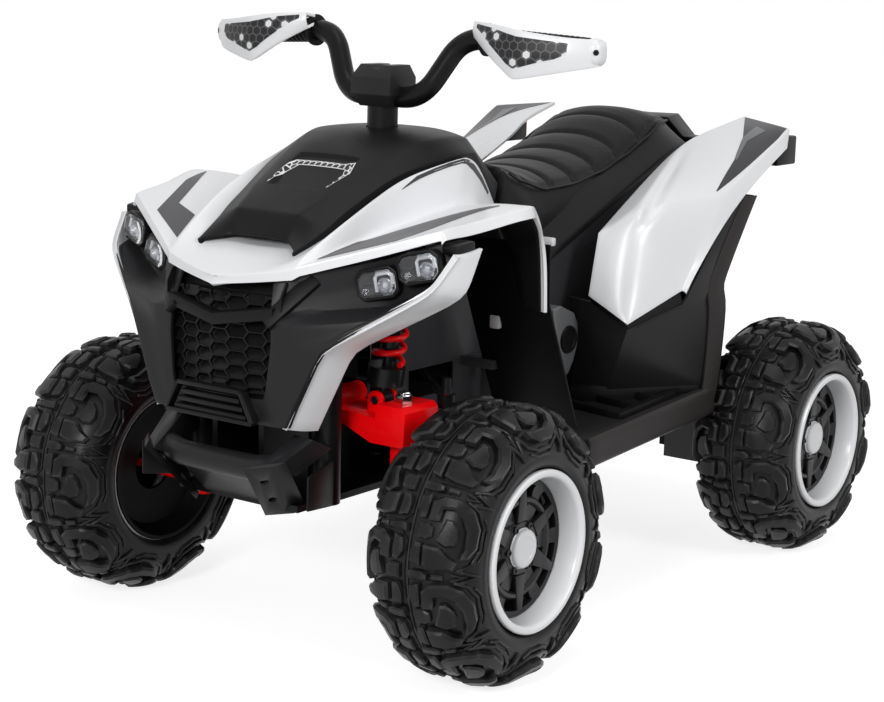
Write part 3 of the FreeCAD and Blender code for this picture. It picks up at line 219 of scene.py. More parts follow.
def joined(name, pieces):
    only(*pieces)
    if len(pieces) > 1:
        bpy.ops.object.join()
    return named(name)


def copied(piece, name, change):
    """A copy with a mesh of its own, moved or mirrored by the matrix."""
    mesh = piece.data.copy()
    mesh.name = name
    mesh.transform(change)
    if change.determinant() < 0:
        mesh.flip_normals()
    return linked(name, mesh)


def pair_of(piece, name):
    """The piece as the left one, and its mirror image as the right one."""
    right = copied(piece, "right_" + name, MIRROR)
    return {LEFT: named("left_" + name, piece), RIGHT: right}


def both_of(piece, name):
    """The piece and its mirror image as one piece."""
    return joined(name, list(pair_of(piece, name).values()))


def on_side(side, change):
    return change if side == LEFT else change @ MIRROR


def net(name, rows):
    """A grid whose points are moved to the rows."""
    bpy.ops.mesh.primitive_grid_add(x_subdivisions=len(rows[0]) - 1, y_subdivisions=len(rows) - 1, size=1)
    piece = named(name)
    places = [place for row in rows for place in row]
    for vertex, place in zip(piece.data.vertices, places):
        vertex.co = place
    return piece


def rows_of(table):
    """Whole rows, right to left, from a table of half rows that start at the middle."""
    rows = []
    for half in table:
        half = [front(*p) for p in half]
        rows.append([Vector((-p.x, p.y, p.z)) for p in reversed(half[1:])] + half)
    return rows


def cornered(piece, wide, corners):
    """Keeps single grid points sharp, given as {(row, column): sharpness}."""
    layer = piece.data.attributes.new("crease_vert", "FLOAT", "POINT")
    for (row, column), value in corners.items():
        layer.data[row * wide + column].value = value


def creased(piece, sharpness):
    """Sets how sharp each edge stays, from sharpness(one end, other end) as point numbers."""
    layer = piece.data.attributes.new("crease_edge", "FLOAT", "EDGE")
    for edge, value in zip(piece.data.edges, layer.data):
        value.value = sharpness(*edge.vertices)


def grid_place(face, wide):
    """A grid face's row and column."""
    return divmod(min(face.vertices), wide)


def creased_net(name, rows, sharp_rows, sharp_columns, corners):
    """A grid that keeps the given rows, columns and corners sharp when it is subdivided."""
    wide = len(rows[0])
    piece = net(name, rows)
    sharp_rows = dict(sharp_rows)
    sharp_columns = dict(sharp_columns)

    def sharpness(a, b):
        if a // wide == b // wide:
            return sharp_rows.get(a // wide, 0)
        return sharp_columns.get(a % wide, 0)

    creased(piece, sharpness)
    cornered(piece, wide, dict(corners))
    return piece


def moulded(name, rows, toward, wall, sharp_rows=(), sharp_columns=(), levels=3, edge=1.0, gaps=(), corners=()):
    """A moulded panel through the rows, with a wall behind its outer face, in millimetres."""
    wide = len(rows[0])
    piece = creased_net(name, rows, sharp_rows, sharp_columns, corners)
    if gaps:
        with editing(piece, lambda face: grid_place(face, wide) in gaps):
            bpy.ops.mesh.delete(type="FACE")
    subdivided(outwards(piece, toward), levels)
    return rounded(thickened(piece, wall), edge, 50)


def faceted(name, points, faces, toward, wall, creases, levels, corners):
    """A moulded panel through single points, where a grid doesn't fit."""
    mesh = bpy.data.meshes.new(name)
    mesh.from_pydata(points, [], faces)
    piece = linked(name, mesh)
    with editing(piece):
        bpy.ops.mesh.normals_make_consistent(inside=False)
    outwards(piece, toward)
    lines = {frozenset(pair): value for pair, value in creases.items()}
    creased(piece, lambda a, b: lines.get(frozenset((a, b)), 0))
    cornered(piece, 1, {(corner, 0): 1.0 for corner in corners})
    subdivided(piece, levels)
    return rounded(thickened(piece, wall), 1.0, 50)


def turned(name, outline, steps):
    """A closed outline of (along, out) in millimetres, spun about the X axis."""
    bpy.ops.mesh.primitive_circle_add(vertices=len(outline), radius=1)
    piece = named(name)
    for vertex, (along, out) in zip(piece.data.vertices, outline):
        vertex.co = (along * MM, 0, out * MM)
    with editing(piece):
        bpy.ops.mesh.spin(steps=steps, angle=math.tau, center=(0, 0, 0), axis=(1, 0, 0))
        bpy.ops.mesh.select_all(action="SELECT")
        bpy.ops.mesh.remove_doubles(threshold=MERGE)
        bpy.ops.mesh.delete_loose(use_verts=True, use_edges=True, use_faces=False)
        bpy.ops.mesh.select_all(action="SELECT")
        bpy.ops.mesh.normals_make_consistent(inside=False)
    return smooth(piece)


def plate(name, outline, rise):
    """A flat outline of (x, y) in millimetres, drawn out along Z by rise."""
    bpy.ops.mesh.primitive_circle_add(vertices=len(outline), radius=1, fill_type="NGON")
    piece = named(name)
    for vertex, (x, y) in zip(piece.data.vertices, outline):
        vertex.co = (x * MM, y * MM, 0)
    with editing(piece):
        bpy.ops.mesh.extrude_region_move(TRANSFORM_OT_translate={"value": (0, 0, rise * MM)})
        bpy.ops.mesh.select_all(action="SELECT")
        bpy.ops.mesh.normals_make_consistent(inside=False)
    return piece


def block(name, low, high):
    """A box between two corners given as points."""
    bpy.ops.mesh.primitive_cube_add(size=1, location=(0, 0, 0))
    piece = named(name)
    middle = (low + high) / 2
    span = high - low
    for vertex in piece.data.vertices:
        vertex.co = [m + c * s for m, c, s in zip(middle, vertex.co, span)]
    return piece


def frame_along(start, way, up=(0, 0, 1)):
    """A matrix that lays a shape's X axis along way, from start."""
    way = Vector(way).normalized()
    side = Vector(up).cross(way).normalized()
    top = way.cross(side)
    turn = Matrix((way, side, top)).transposed().to_4x4()
    return Matrix.Translation(start) @ turn


def upright(start):
    """A matrix that stands a shape's X axis up, from start."""
    return frame_along(start, (0, 0, 1), (0, 1, 0))


def beam(name, a, b, width, depth, edge, up=(0, 0, 1)):
    """A flat bar between two points, with its width across the way and its depth along up."""
    way = b - a
    half = Vector((0, width / 2 * MM, depth / 2 * MM))
    piece = block(name, -half, half + Vector((way.length, 0, 0)))
    return rounded(moved(piece, frame_along(a, way, up)), edge)


def tube(name, path, radius, sides):
    """A round bar along a path of points."""
    curve = bpy.data.curves.new(name, "CURVE")
    curve.dimensions = "3D"
    spline = curve.splines.new("POLY")
    spline.points.add(len(path) - 1)
    for point, place in zip(spline.points, path):
        point.co = (*place, 1)
    curve.bevel_depth = radius * MM
    curve.bevel_resolution = max(1, sides // 4 - 1)
    curve.use_fill_caps = True
    only(linked(name, curve))
    bpy.ops.object.convert(target="MESH")
    return smooth(closed_outwards(named(name)), 50)


def cell_map(piece, cell, up):
    """Gives the piece a UV map whose units are cells, across along X and up along the given axis."""
    for old in list(piece.data.uv_layers):
        piece.data.uv_layers.remove(old)
    cells = piece.data.uv_layers.new(name="cells")
    for loop in piece.data.loops:
        spot = piece.data.vertices[loop.vertex_index].co
        cells.data[loop.index].uv = (spot.x / MM / cell, getattr(spot, up) / MM / cell)


def node_copy(node, name):
    """A merged copy of a CAD node's mesh, with flat faces made whole."""
    mesh = frame["nodes"][node].data.copy()
    mesh.materials.clear()
    mesh.name = name
    piece = linked(name, mesh)
    only(piece)
    bpy.ops.mesh.customdata_custom_splitnormals_clear()
    with editing(piece):
        bpy.ops.mesh.remove_doubles(threshold=1e-5)
        bpy.ops.mesh.dissolve_limited(angle_limit=math.radians(1))
    return piece


# Finishes


class Socket:
    """A socket of a material's nodes. Arithmetic adds Math nodes, and node() adds any other node."""

    def __init__(self, tree, output=None):
        self.tree = tree
        self.output = output

    def node(self, kind, settings=None, inputs=None, output=0):
        made = self.tree.nodes.new("ShaderNode" + kind)
        for key, value in (settings or {}).items():
            setattr(made, key, value)
        for key, value in (inputs or {}).items():
            if isinstance(value, Socket):
                self.tree.links.new(value.output, made.inputs[key])
            else:
                made.inputs[key].default_value = value
        return Socket(self.tree, made.outputs[output])

    def math(self, operation, first, second=0.0):
        return self.node("Math", {"operation": operation}, {0: first, 1: second})

    def __add__(self, other):
        return self.math("ADD", self, other)

    def __sub__(self, other):
        return self.math("SUBTRACT", self, other)

    def __rsub__(self, other):
        return self.math("SUBTRACT", other, self)

    def __mul__(self, other):
        return self.math("MULTIPLY", self, other)

    def __truediv__(self, other):
        return self.math("DIVIDE", self, other)

    __radd__ = __add__
    __rmul__ = __mul__

    def noise(self, place, scale, detail=3.0):
        return self.node("TexNoise", None, {"Vector": place, "Scale": scale, "Detail": detail})

    def between(self, share, low, high):
        """A colour from low to high by the share."""
        return self.node("Mix", {"data_type": "RGBA"}, {0: share, 6: (*low, 1), 7: (*high, 1)}, 2)

    def step(self, value, low, high):
        """0 below low and 1 above high, smooth between them."""
        return self.node("MapRange", {"interpolation_type": "SMOOTHSTEP"},
                         {"Value": value, "From Min": low, "From Max": high})

    def bump(self, height, depth, strength=1.0):
        return self.node("Bump", None, {"Strength": strength, "Distance": depth * MM, "Height": height})


def finish(name, slot, varying, **constants):
    """A material whose changing sockets come from varying(socket, place) and the rest are constants."""
    made = bpy.data.materials.new(name)
    made.use_nodes = True
    tree = made.node_tree
    tree.nodes.clear()
    output = tree.nodes.new("ShaderNodeOutputMaterial")
    shader = tree.nodes.new("ShaderNodeBsdfPrincipled")
    tree.links.new(shader.outputs[0], output.inputs[0])
    for key, value in constants.items():
        shader.inputs[key.replace("_", " ")].default_value = value
    start = Socket(tree)
    place = start.node("TexCoord", output="Object")
    for key, value in varying(start, place).items():
        tree.links.new(value.output, shader.inputs[key])
    made.diffuse_color = (0.5, 0.5, 0.5, 1)
    return made


def plain(name, slot, dark, light, rough, spread=0.06, grain=None, depth=0.05, **constants):
    """A surface that drifts a little between two colours, with an even grain."""

    def varying(s, place):
        drift = s.noise(place, 7.0)
        sockets = {
            "Base Color": s.between(drift, dark, light),
            "Roughness": rough + spread * (s.noise(place, 38.0, 4.0) - 0.5),
        }
        if grain:
            sockets["Normal"] = s.bump(s.noise(place, grain, 2.0), depth)
        return sockets

    return finish(name, slot, varying, **constants)


def tyre_look(s, place):
    grime = s.noise(place, 26.0, 5.0)
    raised = s.node("NewGeometry", output="Pointiness")
    # Pointiness lightens the lugs' raised edges towards the lighter colour: a painted highlight along the edges,
    # added to the random grime tone.
    painted_edge_highlight = s.step(raised, 0.53, 0.62) * 0.9
    share = s.math("MINIMUM", s.step(grime, 0.35, 0.75) * 0.25 + painted_edge_highlight, 1.0)
    return {
        "Base Color": s.between(share, (0.002, 0.002, 0.0022), (0.03, 0.0298, 0.0302)),
        "Roughness": 0.36 + 0.16 * (grime - 0.5),
        "Normal": s.bump(s.noise(place, 420.0, 3.0), 0.12, 0.7),
    }


def leather_look(s, place):
    cells = s.node("TexVoronoi", {"feature": "DISTANCE_TO_EDGE"}, {"Vector": place, "Scale": 420.0})
    creases = s.step(cells, 0.0, 0.12)
    quilted = s.node("Attribute", {"attribute_name": "quilted"}, None, "Fac")
    holes = s.node("TexVoronoi", {"feature": "F1"}, {"Vector": place, "Scale": 190.0, "Randomness": 0.0})
    pores = s.step(holes, 0.16, 0.28)
    pierced = 1 - (1 - pores) * quilted
    height = creases * 0.35 + pierced * 1.2
    drift = s.noise(place, 18.0, 4.0)
    return {
        # The colour is darkest in the perforation holes, where pierced is 0: painted shade inside the holes.
        "Base Color": s.between(pierced * (0.55 + 0.45 * drift), (0.0022, 0.0022, 0.0024), (0.008, 0.008, 0.0086)),
        "Roughness": 0.36 + 0.14 * drift,
        "Normal": s.bump(height, 0.35, 0.6),
    }


def comb_look(lines, white_from, line_from):
    """A honeycomb print over the piece's own UV map, whose units are cells, with some cells white."""

    def varying(s, place):
        cell_map = s.node("UVMap", {"uv_map": "cells"})
        u = s.node("SeparateXYZ", None, {0: cell_map}, "X")
        v = s.node("SeparateXYZ", None, {0: cell_map}, "Y")
        tall = math.sqrt(3)

        def cell(shift):
            column = s.math("FLOOR", u + shift)
            row = s.math("FLOOR", v / tall + shift)
            a = s.math("ABSOLUTE", u + shift - column - 0.5)
            b = s.math("ABSOLUTE", (v / tall + shift - row - 0.5) * tall)
            edge = s.math("MAXIMUM", a, a * 0.5 + b * (tall / 2))
            key = s.node("CombineXYZ", None, {0: column + 0.31 * (2 * shift), 1: row + 17.0 * shift})
            return edge, s.node("TexWhiteNoise", {"noise_dimensions": "2D"}, {"Vector": key})

        first, first_key = cell(0.0)
        second, second_key = cell(0.5)
        nearer = s.math("LESS_THAN", first, second)
        edge = s.math("MINIMUM", first, second)
        key = first_key * nearer + second_key * (1 - nearer)
        line = s.step(edge, line_from, line_from + 0.035)
        filled = s.step(key, white_from, white_from + 0.01) * (1 - s.step(edge, 0.36, 0.4))
        share = s.math("MINIMUM", line * lines + filled, 1.0)
        drift = s.noise(place, 30.0)
        return {
            "Base Color": s.between(share, (0.02, 0.02, 0.022), (0.7, 0.705, 0.71)),
            "Roughness": 0.34 + 0.06 * drift,
        }

    return varying


WHITE = plain("gloss_white_shell", "white_body", (0.72, 0.727, 0.745), (0.78, 0.786, 0.8), 0.3, 0.05, 260.0, 0.02,
              Coat_Weight=0.15, Coat_Roughness=0.12)
BLACK = plain("grained_black_shell", "black_body", (0.0045, 0.0045, 0.005), (0.008, 0.008, 0.0086), 0.42, 0.1,
              900.0, 0.09, Specular_IOR_Level=0.12)
SATIN = plain("satin_black_shell", "black_body", (0.005, 0.005, 0.0055), (0.009, 0.009, 0.0096), 0.34, 0.08, 700.0,
              0.05, Specular_IOR_Level=0.14)
WARM = plain("warm_black_strip", "black_body", (0.02, 0.0175, 0.017), (0.028, 0.0245, 0.024), 0.44, 0.08, 700.0,
             0.08, Specular_IOR_Level=0.14)
FAIRING = plain("smooth_black_shell", "black_body", (0.013, 0.013, 0.0142), (0.019, 0.019, 0.0205), 0.36, 0.08,
                800.0, 0.07, Specular_IOR_Level=0.15)
SPLASH = plain("matt_black_shell", "black_body", (0.002, 0.002, 0.0022), (0.0035, 0.0035, 0.0038), 0.5, 0.08,
               800.0, 0.07, Specular_IOR_Level=0.07)
TUB = plain("tub_black", "black_body", (0.03, 0.03, 0.033), (0.042, 0.042, 0.046), 0.4, 0.08, 800.0, 0.07,
            Specular_IOR_Level=0.15)
TYRE = finish("tyre_rubber", "tyre", tyre_look, Specular_IOR_Level=0.2)
RIM = plain("rim_white", "rim_white", (0.74, 0.746, 0.765), (0.8, 0.806, 0.82), 0.24, 0.05, 300.0, 0.02)
SPOKE = plain("spoke_black", "spoke_black", (0.012, 0.012, 0.013), (0.018, 0.018, 0.0195), 0.3, 0.1, 600.0, 0.06,
              Specular_IOR_Level=0.25)
CAP = plain("hub_cap_grey", "cap_grey", (0.7, 0.705, 0.72), (0.76, 0.765, 0.78), 0.3, 0.05, 300.0, 0.02)
RED = plain("gloss_red_moulding", "red_moulded", (0.88, 0.0015, 0.0035), (0.94, 0.002, 0.0045), 0.28, 0.06, 300.0,
            0.03, Specular_IOR_Level=0.1)
SPRING = plain("red_spring_coat", "spring_red", (0.76, 0.0025, 0.005), (0.84, 0.0035, 0.0065), 0.32, 0.06, 400.0,
               0.03, Specular_IOR_Level=0.2)
DAMPER = plain("damper_black", "damper_black", (0.005, 0.005, 0.0055), (0.009, 0.009, 0.0096), 0.3, 0.08, 500.0,
               0.04, Specular_IOR_Level=0.15)
STEEL = plain("dull_steel", "steel", (0.28, 0.28, 0.285), (0.36, 0.36, 0.365), 0.36, 0.1, 500.0, 0.03, Metallic=1.0)
CHROME = plain("bright_bolt", "bolt_chrome", (0.5, 0.5, 0.51), (0.6, 0.6, 0.61), 0.16, 0.06, 500.0, 0.02,
               Metallic=1.0)
BAR = plain("painted_bar_black", "bar_black", (0.004, 0.004, 0.0045), (0.007, 0.007, 0.0076), 0.32, 0.08, 500.0,
            0.03, Specular_IOR_Level=0.12)
GRIP = plain("grip_rubber", "grip_rubber", (0.005, 0.005, 0.0055), (0.009, 0.009, 0.0096), 0.55, 0.1, 600.0, 0.1,
             Specular_IOR_Level=0.12)
LEATHER = finish("seat_leather", "seat_leather", leather_look, Specular_IOR_Level=0.14)
LENS = plain("clear_lens", "lamp_clear", (0.7, 0.71, 0.73), (0.76, 0.77, 0.79), 0.05, 0.02, 160.0, 0.03,
             Transmission_Weight=0.97, IOR=1.3)
# The light guide's near-white colour is partly a pale guide and partly painted reflection, so that it reads as bright
# white lines.
GUIDE = plain("light_guide", "lamp_clear", (0.9, 0.91, 0.93), (0.95, 0.955, 0.96), 0.2, 0.04)
MIRROR_CUP = plain("lamp_reflector", "lamp_clear", (0.5, 0.51, 0.53), (0.62, 0.63, 0.65), 0.2, 0.06, Metallic=0.9)
TAIL = plain("tail_lamp_red", "tail_red", (0.26, 0.005, 0.007), (0.34, 0.008, 0.01), 0.16, 0.05, 200.0, 0.05,
             Coat_Weight=0.4)
GREY = plain("grey_moulding", "black_body", (0.1, 0.105, 0.112), (0.15, 0.155, 0.162), 0.36, 0.08, 500.0, 0.05)
CHARCOAL = plain("charcoal_decal", "black_body", (0.045, 0.044, 0.05), (0.06, 0.058, 0.065), 0.32, 0.05, 600.0,
                 0.02, Specular_IOR_Level=0.2)
PALE_PRINT = plain("white_print", "white_body", (0.66, 0.665, 0.67), (0.72, 0.725, 0.73), 0.35, 0.05, 600.0, 0.02)
COMB = finish("honeycomb_print", "black_body", comb_look(0.12, 0.7, 0.42), Specular_IOR_Level=0.2)
LACE = finish("honeycomb_lace", "black_body", comb_look(1.0, 1.0, 0.37), Specular_IOR_Level=0.2)
MOTOR = plain("motor_black", "motor_black", (0.008, 0.008, 0.0085), (0.013, 0.013, 0.0135), 0.45, 0.1, 500.0, 0.05)
BATTERY = plain("battery_case", "battery_grey", (0.05, 0.05, 0.052), (0.07, 0.07, 0.072), 0.5, 0.08, 500.0, 0.05)
SWITCH_RED = plain("switch_red", "switch_red", (0.42, 0.012, 0.014), (0.5, 0.016, 0.018), 0.28, 0.05, 500.0, 0.03)


def place(piece, look, *nodes, body="chassis"):
    """Gives the piece its finish and its body, and hides the CAD nodes that it stands for."""
    piece.data.materials.clear()
    piece.data.materials.append(look)
    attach(piece, body)
    if nodes:
        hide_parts(*nodes)


def place_pair(piece, name, look, node=None, body="chassis"):
    """Places the piece on the left side, and its mirror image on the right side."""
    for side, part in pair_of(piece, name).items():
        nodes = [f"{SIDE_NAMES[side]}_{node}"] if node else []
        place(part, look, *nodes, body=body)


def dressed(node, look, width=1.2, angle=32):
    """A copy of a rigid CAD node with its edges rounded, in place of the node."""
    piece = rounded(node_copy(node, node + "_shell"), width, angle)
    place(piece, look, node, body=frame["nodes"][node]["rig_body"])


# Wheels

TYRE_SIDE = (
    (0, 153), (12, 152.8), (24.5, 151.7), (36, 149.2), (46.5, 144.6), (55, 137.6), (62, 129), (66.6, 119.4),
    (68.6, 111.4), (68.4, 110), (69.2, 108.4), (68.6, 101.4), (66.5, 97.2), (63, 95.2),
)
TYRE_BEAD = 9
CLAWS = 10
CLAW_PITCH = math.tau / CLAWS
CROWN = TYRE_SIDE[0][1]
LUG_ROOT = -1.5
SPOKES = 6
WHEEL_STEPS = 96
WHEEL_X = 283
RIM_SHIFT = 2.0
DISC_SHIFT = 18.0


def tyre_line(reach):
    """The tyre's outer line, and its outward direction, at a distance from the middle seam."""
    points = [Vector(p) for p in TYRE_SIDE[:TYRE_BEAD]]
    for index, (a, b) in enumerate(zip(points, points[1:])):
        span = (b - a).length
        if reach <= span or index == len(points) - 2:
            share = reach / span
            before = points[max(0, index - 1)]
            after = points[min(len(points) - 1, index + 2)]
            first = (b - before).normalized()
            last = (after - a).normalized()
            way = (first * (1 - share) + last * share).normalized()
            return a + (b - a) * share, Vector((-way.y, way.x))
        reach -= span


CLAW_TIP = [(12, 11), (22, 4), (35, 6), (38, 17), (24, 18), (13, 17)]
LOW_TIP = [(-38, 18), (-35, 6), (-24, 5), (-14, 10), (-14, 17)]
MIDDLE_TOOTH = [(-9, 9), (7, 9), (8, 21), (4, 27), (-6, 27), (-10, 20)]
HOOK = [
    (11, 21), (31, 21), (39.5, 31), (41, 48), (33, 63), (14, 73.5), (-10, 74), (-24, 66.5), (-26, 58.5), (-13, 62),
    (6, 61), (20, 54), (27, 44), (25, 34), (12, 33),
]
FINGER = [(-15.5, 21), (-36, 22), (-40, 36), (-38.5, 52), (-30, 56), (-24.5, 47), (-16, 38)]
CLAW_HEART = [(-9, 31.5), (6, 37), (16, 39), (16.5, 46), (8, 53), (-2, 55.5), (-12, 52), (-15, 43)]
CLAW_BASE = [(-43, 12), (-33, 4), (33, 4), (43, 12), (43, 34), (42, 52), (34, 68), (16, 79), (-16, 79),
             (-34, 68), (-42, 52), (-43, 34)]
MIDDLE_LUG = [(43, 3.5), (51.5, 5), (52.5, 19), (49.5, 26), (44.5, 26.5), (42, 19)]
MIDDLE_STEP = [(44, 31), (50.5, 31), (50, 43), (44.5, 43)]
CHEVRON = [(37.5, 62), (47.1, 86), (56.7, 62), (52.6, 60), (47.1, 75), (41.6, 60)]
INNER_CHEVRON = [(41.5, 52), (47.1, 68.5), (52.7, 52), (49.6, 50.5), (47.1, 59), (44.6, 50.5)]
ECHO = [(43.5, 55), (36, 71), (17, 82), (-14, 83), (-33, 75), (-43, 58), (-39.5, 56), (-30.8, 71.2), (-13, 78.8),
        (15.8, 77.9), (33, 67.8), (40, 53.5)]
OUTER_ECHO = [(31, 80), (16, 88.5), (-14, 89), (-30, 83), (-28.4, 80.2), (-13.4, 85.8), (15, 85.3), (29, 77.4)]
LUGS = (
    (CLAW_TIP, 9.0, 2.0), (LOW_TIP, 9.0, 2.0), (MIDDLE_TOOTH, 6.5, 1.6), (HOOK, 11.0, 2.6), (FINGER, 11.5, 2.6),
    (CLAW_BASE, 1.6, 0.8), (CLAW_HEART, 8.5, 2.2), (MIDDLE_LUG, 8.5, 1.8), (MIDDLE_STEP, 6.0, 1.4),
    (CHEVRON, 4.0, 1.1), (INNER_CHEVRON, 3.4, 0.9), (ECHO, 4.2, 1.1), (OUTER_ECHO, 2.8, 0.9),
)


def lug_block(outline, height, chamfer):
    """One flat lug with a chamfered top."""
    piece = moved(plate("lug", outline, height - LUG_ROOT - chamfer), (0, 0, LUG_ROOT * MM))
    with editing(piece, faces_up):
        bpy.ops.mesh.inset(thickness=chamfer * MM, depth=chamfer * MM)
    return piece


def tread_unit():
    """One claw with its neighbours, cut across so that it can wrap, and wrapped on the tyre."""
    piece = joined("tread_unit", [lug_block(*lug) for lug in LUGS])
    for way, cuts in ((Vector((1, 0, 0)), range(-36, 61, 8)), (Vector((0, 1, 0)), range(10, 86, 9))):
        for cut in cuts:
            with editing(piece):
                bpy.ops.mesh.bisect(plane_co=way * (cut * MM + 1e-5), plane_no=way)
    for vertex in piece.data.vertices:
        along, reach, height = (c / MM for c in vertex.co)
        spot, away = tyre_line(reach)
        spot = spot + away * height
        turn = along / CROWN
        vertex.co = (spot.x * MM, spot.y * MM * math.sin(turn), spot.y * MM * math.cos(turn))
    with editing(piece):
        bpy.ops.mesh.normals_make_consistent(inside=False)
    return piece


def tyre_form():
    """The whole tyre about the X axis: carcass, middle seam and both rows of claws."""
    outline = list(reversed(TYRE_SIDE)) + [(-x, r) for x, r in TYRE_SIDE[1:]]
    carcass = turned("carcass", outline, WHEEL_STEPS)
    seam = turned("seam", [(-1.3, 151), (1.3, 151), (0.8, 154.4), (-0.8, 154.4)], WHEEL_STEPS)
    unit = tread_unit()
    rows = []
    for side in (LEFT, RIGHT):
        for claw in range(CLAWS):
            turn = (claw + (0 if side == LEFT else 0.5)) * CLAW_PITCH
            rows.append(copied(unit, "tread", on_side(side, Matrix.Rotation(turn, 4, "X"))))
    discard(unit)
    return smooth(joined("tyre_form", [carcass, seam] + rows))


def ring_window(near, far, half_near, half_far, turn):
    """A window's prism through the wheel disc, between two radii, as half widths in degrees."""
    corners = []
    for radius, angles in ((near, (-half_near, 0, half_near)),
                           (far, (half_far, half_far / 2, 0, -half_far / 2, -half_far))):
        for angle in angles:
            swing = math.radians(turn + angle)
            corners.append((radius * math.cos(swing), radius * math.sin(swing)))
    return closed_outwards(moved(plate("window", corners, 40), ON_SIDE))


DISC_LINE = ((17, 0), (17, 80.9), (23.5, 80.9), (25, 79.4), (25, 72), (23, 68), (23, 60), (26.5, 57), (26.5, 53),
             (22.5, 50), (22.5, 33), (26.5, 30), (26.5, 0))
BOLT_LINE = ((24, 0), (24, 4.2), (28.6, 4.2), (29.4, 3.4), (29.4, 2.2), (28, 2.0), (28, 0))
BOLT_CIRCLE = 27.2
RIM_LINE = (
    (61, 93.4), (64.5, 94.4), (67.6, 94), (69.2, 92.4), (69.6, 90), (69.2, 87.6), (67.6, 85.6), (64, 84.2),
    (52, 82.6), (34, 80.6), (27.5, 80), (26.2, 79.6), (15, 79.6), (15, 84), (-40, 84), (-62, 86), (-66, 90),
    (-66.5, 93), (-64, 94.4), (-60, 94), (-56, 90), (-30, 88), (30, 88), (56, 90),
)
CAP_LINE = ((26.2, 0), (26.2, 23.4), (27.6, 23.8), (28.4, 22.8), (31.4, 22.4), (33, 21.2), (33.8, 18.8),
            (34, 14.2), (33.4, 13.4), (33.3, 8), (33.5, 0))
DISH_LINE = ((-36, 32), (-41, 32), (-44, 76), (-52, 82), (-63, 84), (-68.5, 88), (-69, 92.6), (-66.6, 93.2),
             (-65, 88), (-52, 83.4), (-38, 83.4), (-37, 76))
BACKING_LINE = ((20, 24.5), (20, 80.4), (22, 80.4), (22, 24.5))


def spoke_form():
    """The black wheel disc about the X axis, with its windows, ribs and bolts."""
    disc = turned("disc", DISC_LINE, WHEEL_STEPS)
    windows = []
    for spoke in range(SPOKES):
        turn = spoke * 360 / SPOKES + 30
        windows.append(ring_window(33.6, 50.6, 15, 19, turn))
        for swing in (-13, 13):
            windows.append(ring_window(59, 73, 9.5, 9.5, turn + swing))
    cut_out(disc, joined("windows", windows))
    parts = [rounded(disc, 0.9, 35)]
    for spoke in range(SPOKES):
        turn = math.radians(spoke * 60)
        rib = block("rib", mm(21, -7, 31), mm(27.5, 7, 73))
        for vertex in rib.data.vertices:
            vertex.co.y *= 1.5 if vertex.co.z < 50 * MM else 0.7
        rounded(rib, 1.2)
        bolt = moved(turned("bolt", BOLT_LINE, 18), (0, 0, BOLT_CIRCLE * MM))
        for part, swing in ((rib, turn), (bolt, turn + math.radians(30))):
            parts.append(moved(part, Matrix.Rotation(swing, 4, "X")))
    return smooth(joined("spoke_form", parts))


def dish_form():
    """The dark dish that closes the wheel's inner side round the hub, and the disc behind the spokes."""
    backing = turned("backing", BACKING_LINE, 64)
    return joined("dish_form", [turned("dish", DISH_LINE, 64), backing])


def wheels():
    forms = (
        ("tyre", tyre_form(), TYRE, 0), ("rim", turned("rim_form", RIM_LINE, WHEEL_STEPS), RIM, RIM_SHIFT),
        ("spokes", spoke_form(), SPOKE, DISC_SHIFT), ("hub_cap", turned("cap_form", CAP_LINE, 48), CAP, DISC_SHIFT),
        ("dish", dish_form(), SPLASH, RIM_SHIFT),
    )
    for end, axle in (("front", FRONT_WHEEL), ("rear", REAR_WHEEL)):
        for side, word in SIDE_NAMES.items():
            for kind, form, look, shift in forms:
                node = f"{end}_{word}_{kind}"
                change = Matrix.Translation((side * (WHEEL_X + shift) * MM, axle.y, axle.z))
                nodes = [] if kind == "dish" else [node]
                place(copied(form, node + "_form", on_side(side, change)), look, *nodes, body=f"{end}_{word}_wheel")
    for kind, form, look, shift in forms:
        discard(form)


# Hood, fenders and the dark cover on them

HOOD = (
    ((0, -159, 281.5), (46, -146, 286.5), (72, -138, 290), (94, -130, 293), (101, -125, 298), (172, -80, 321),
     (235, -43, 344), (237, -44, 340)),
    ((0, -158, 291), (46, -146, 297), (70, -138, 301), (95, -129, 305.5), (101, -124, 309), (171, -79, 332),
     (234, -41, 355), (239, -40, 344)),
    ((0, -120, 305), (42, -115, 307), (72, -116, 309), (97, -113, 318), (103, -107, 313), (172, -64, 336),
     (237, -28, 358), (242, -27, 346)),
    ((0, -82, 319), (38, -80, 319), (75, -98, 313), (100, -93, 331), (107, -88, 318), (174, -46, 339),
     (240, -12, 359), (245, -12, 346)),
    ((0, -60, 316), (58, -50, 320), (87, -52, 334), (109, -40, 361), (113, -38, 328), (178, 2, 349),
     (247, 30, 364), (252, 30, 351)),
    ((0, 20, 350), (72, 18, 350), (96, 14, 371), (113, 10, 384), (121, 22, 340), (186, 46, 362),
     (256, 66, 371), (261, 66, 358)),
    ((0, 66, 370), (82, 66, 370), (104, 60, 388), (112, 60, 401), (127, 74, 351), (192, 86, 370),
     (265, 93, 374), (269, 92, 361)),
    ((0, 140, 390), (106, 140, 392), (124, 140, 404), (132, 142, 418), (133, 128, 360), (194, 116, 371),
     (252, 116, 371), (255, 116, 358)),
    ((0, 172, 390), (103, 172, 390), (120, 172, 400), (128, 176, 412), (136, 165, 356), (200, 150, 345),
     (243, 148, 345), (247, 144, 338)),
    ((0, 222, 348), (94, 222, 346), (106, 232, 349), (113, 236, 350), (122, 226, 346), (205, 163, 300),
     (240, 161, 305), (245, 158, 303)),
    ((0, 222, 348), (94, 222, 346), (106, 232, 349), (113, 236, 350), (122, 226, 346), (212, 170, 240),
     (240, 167, 239), (244, 163, 239)),
)
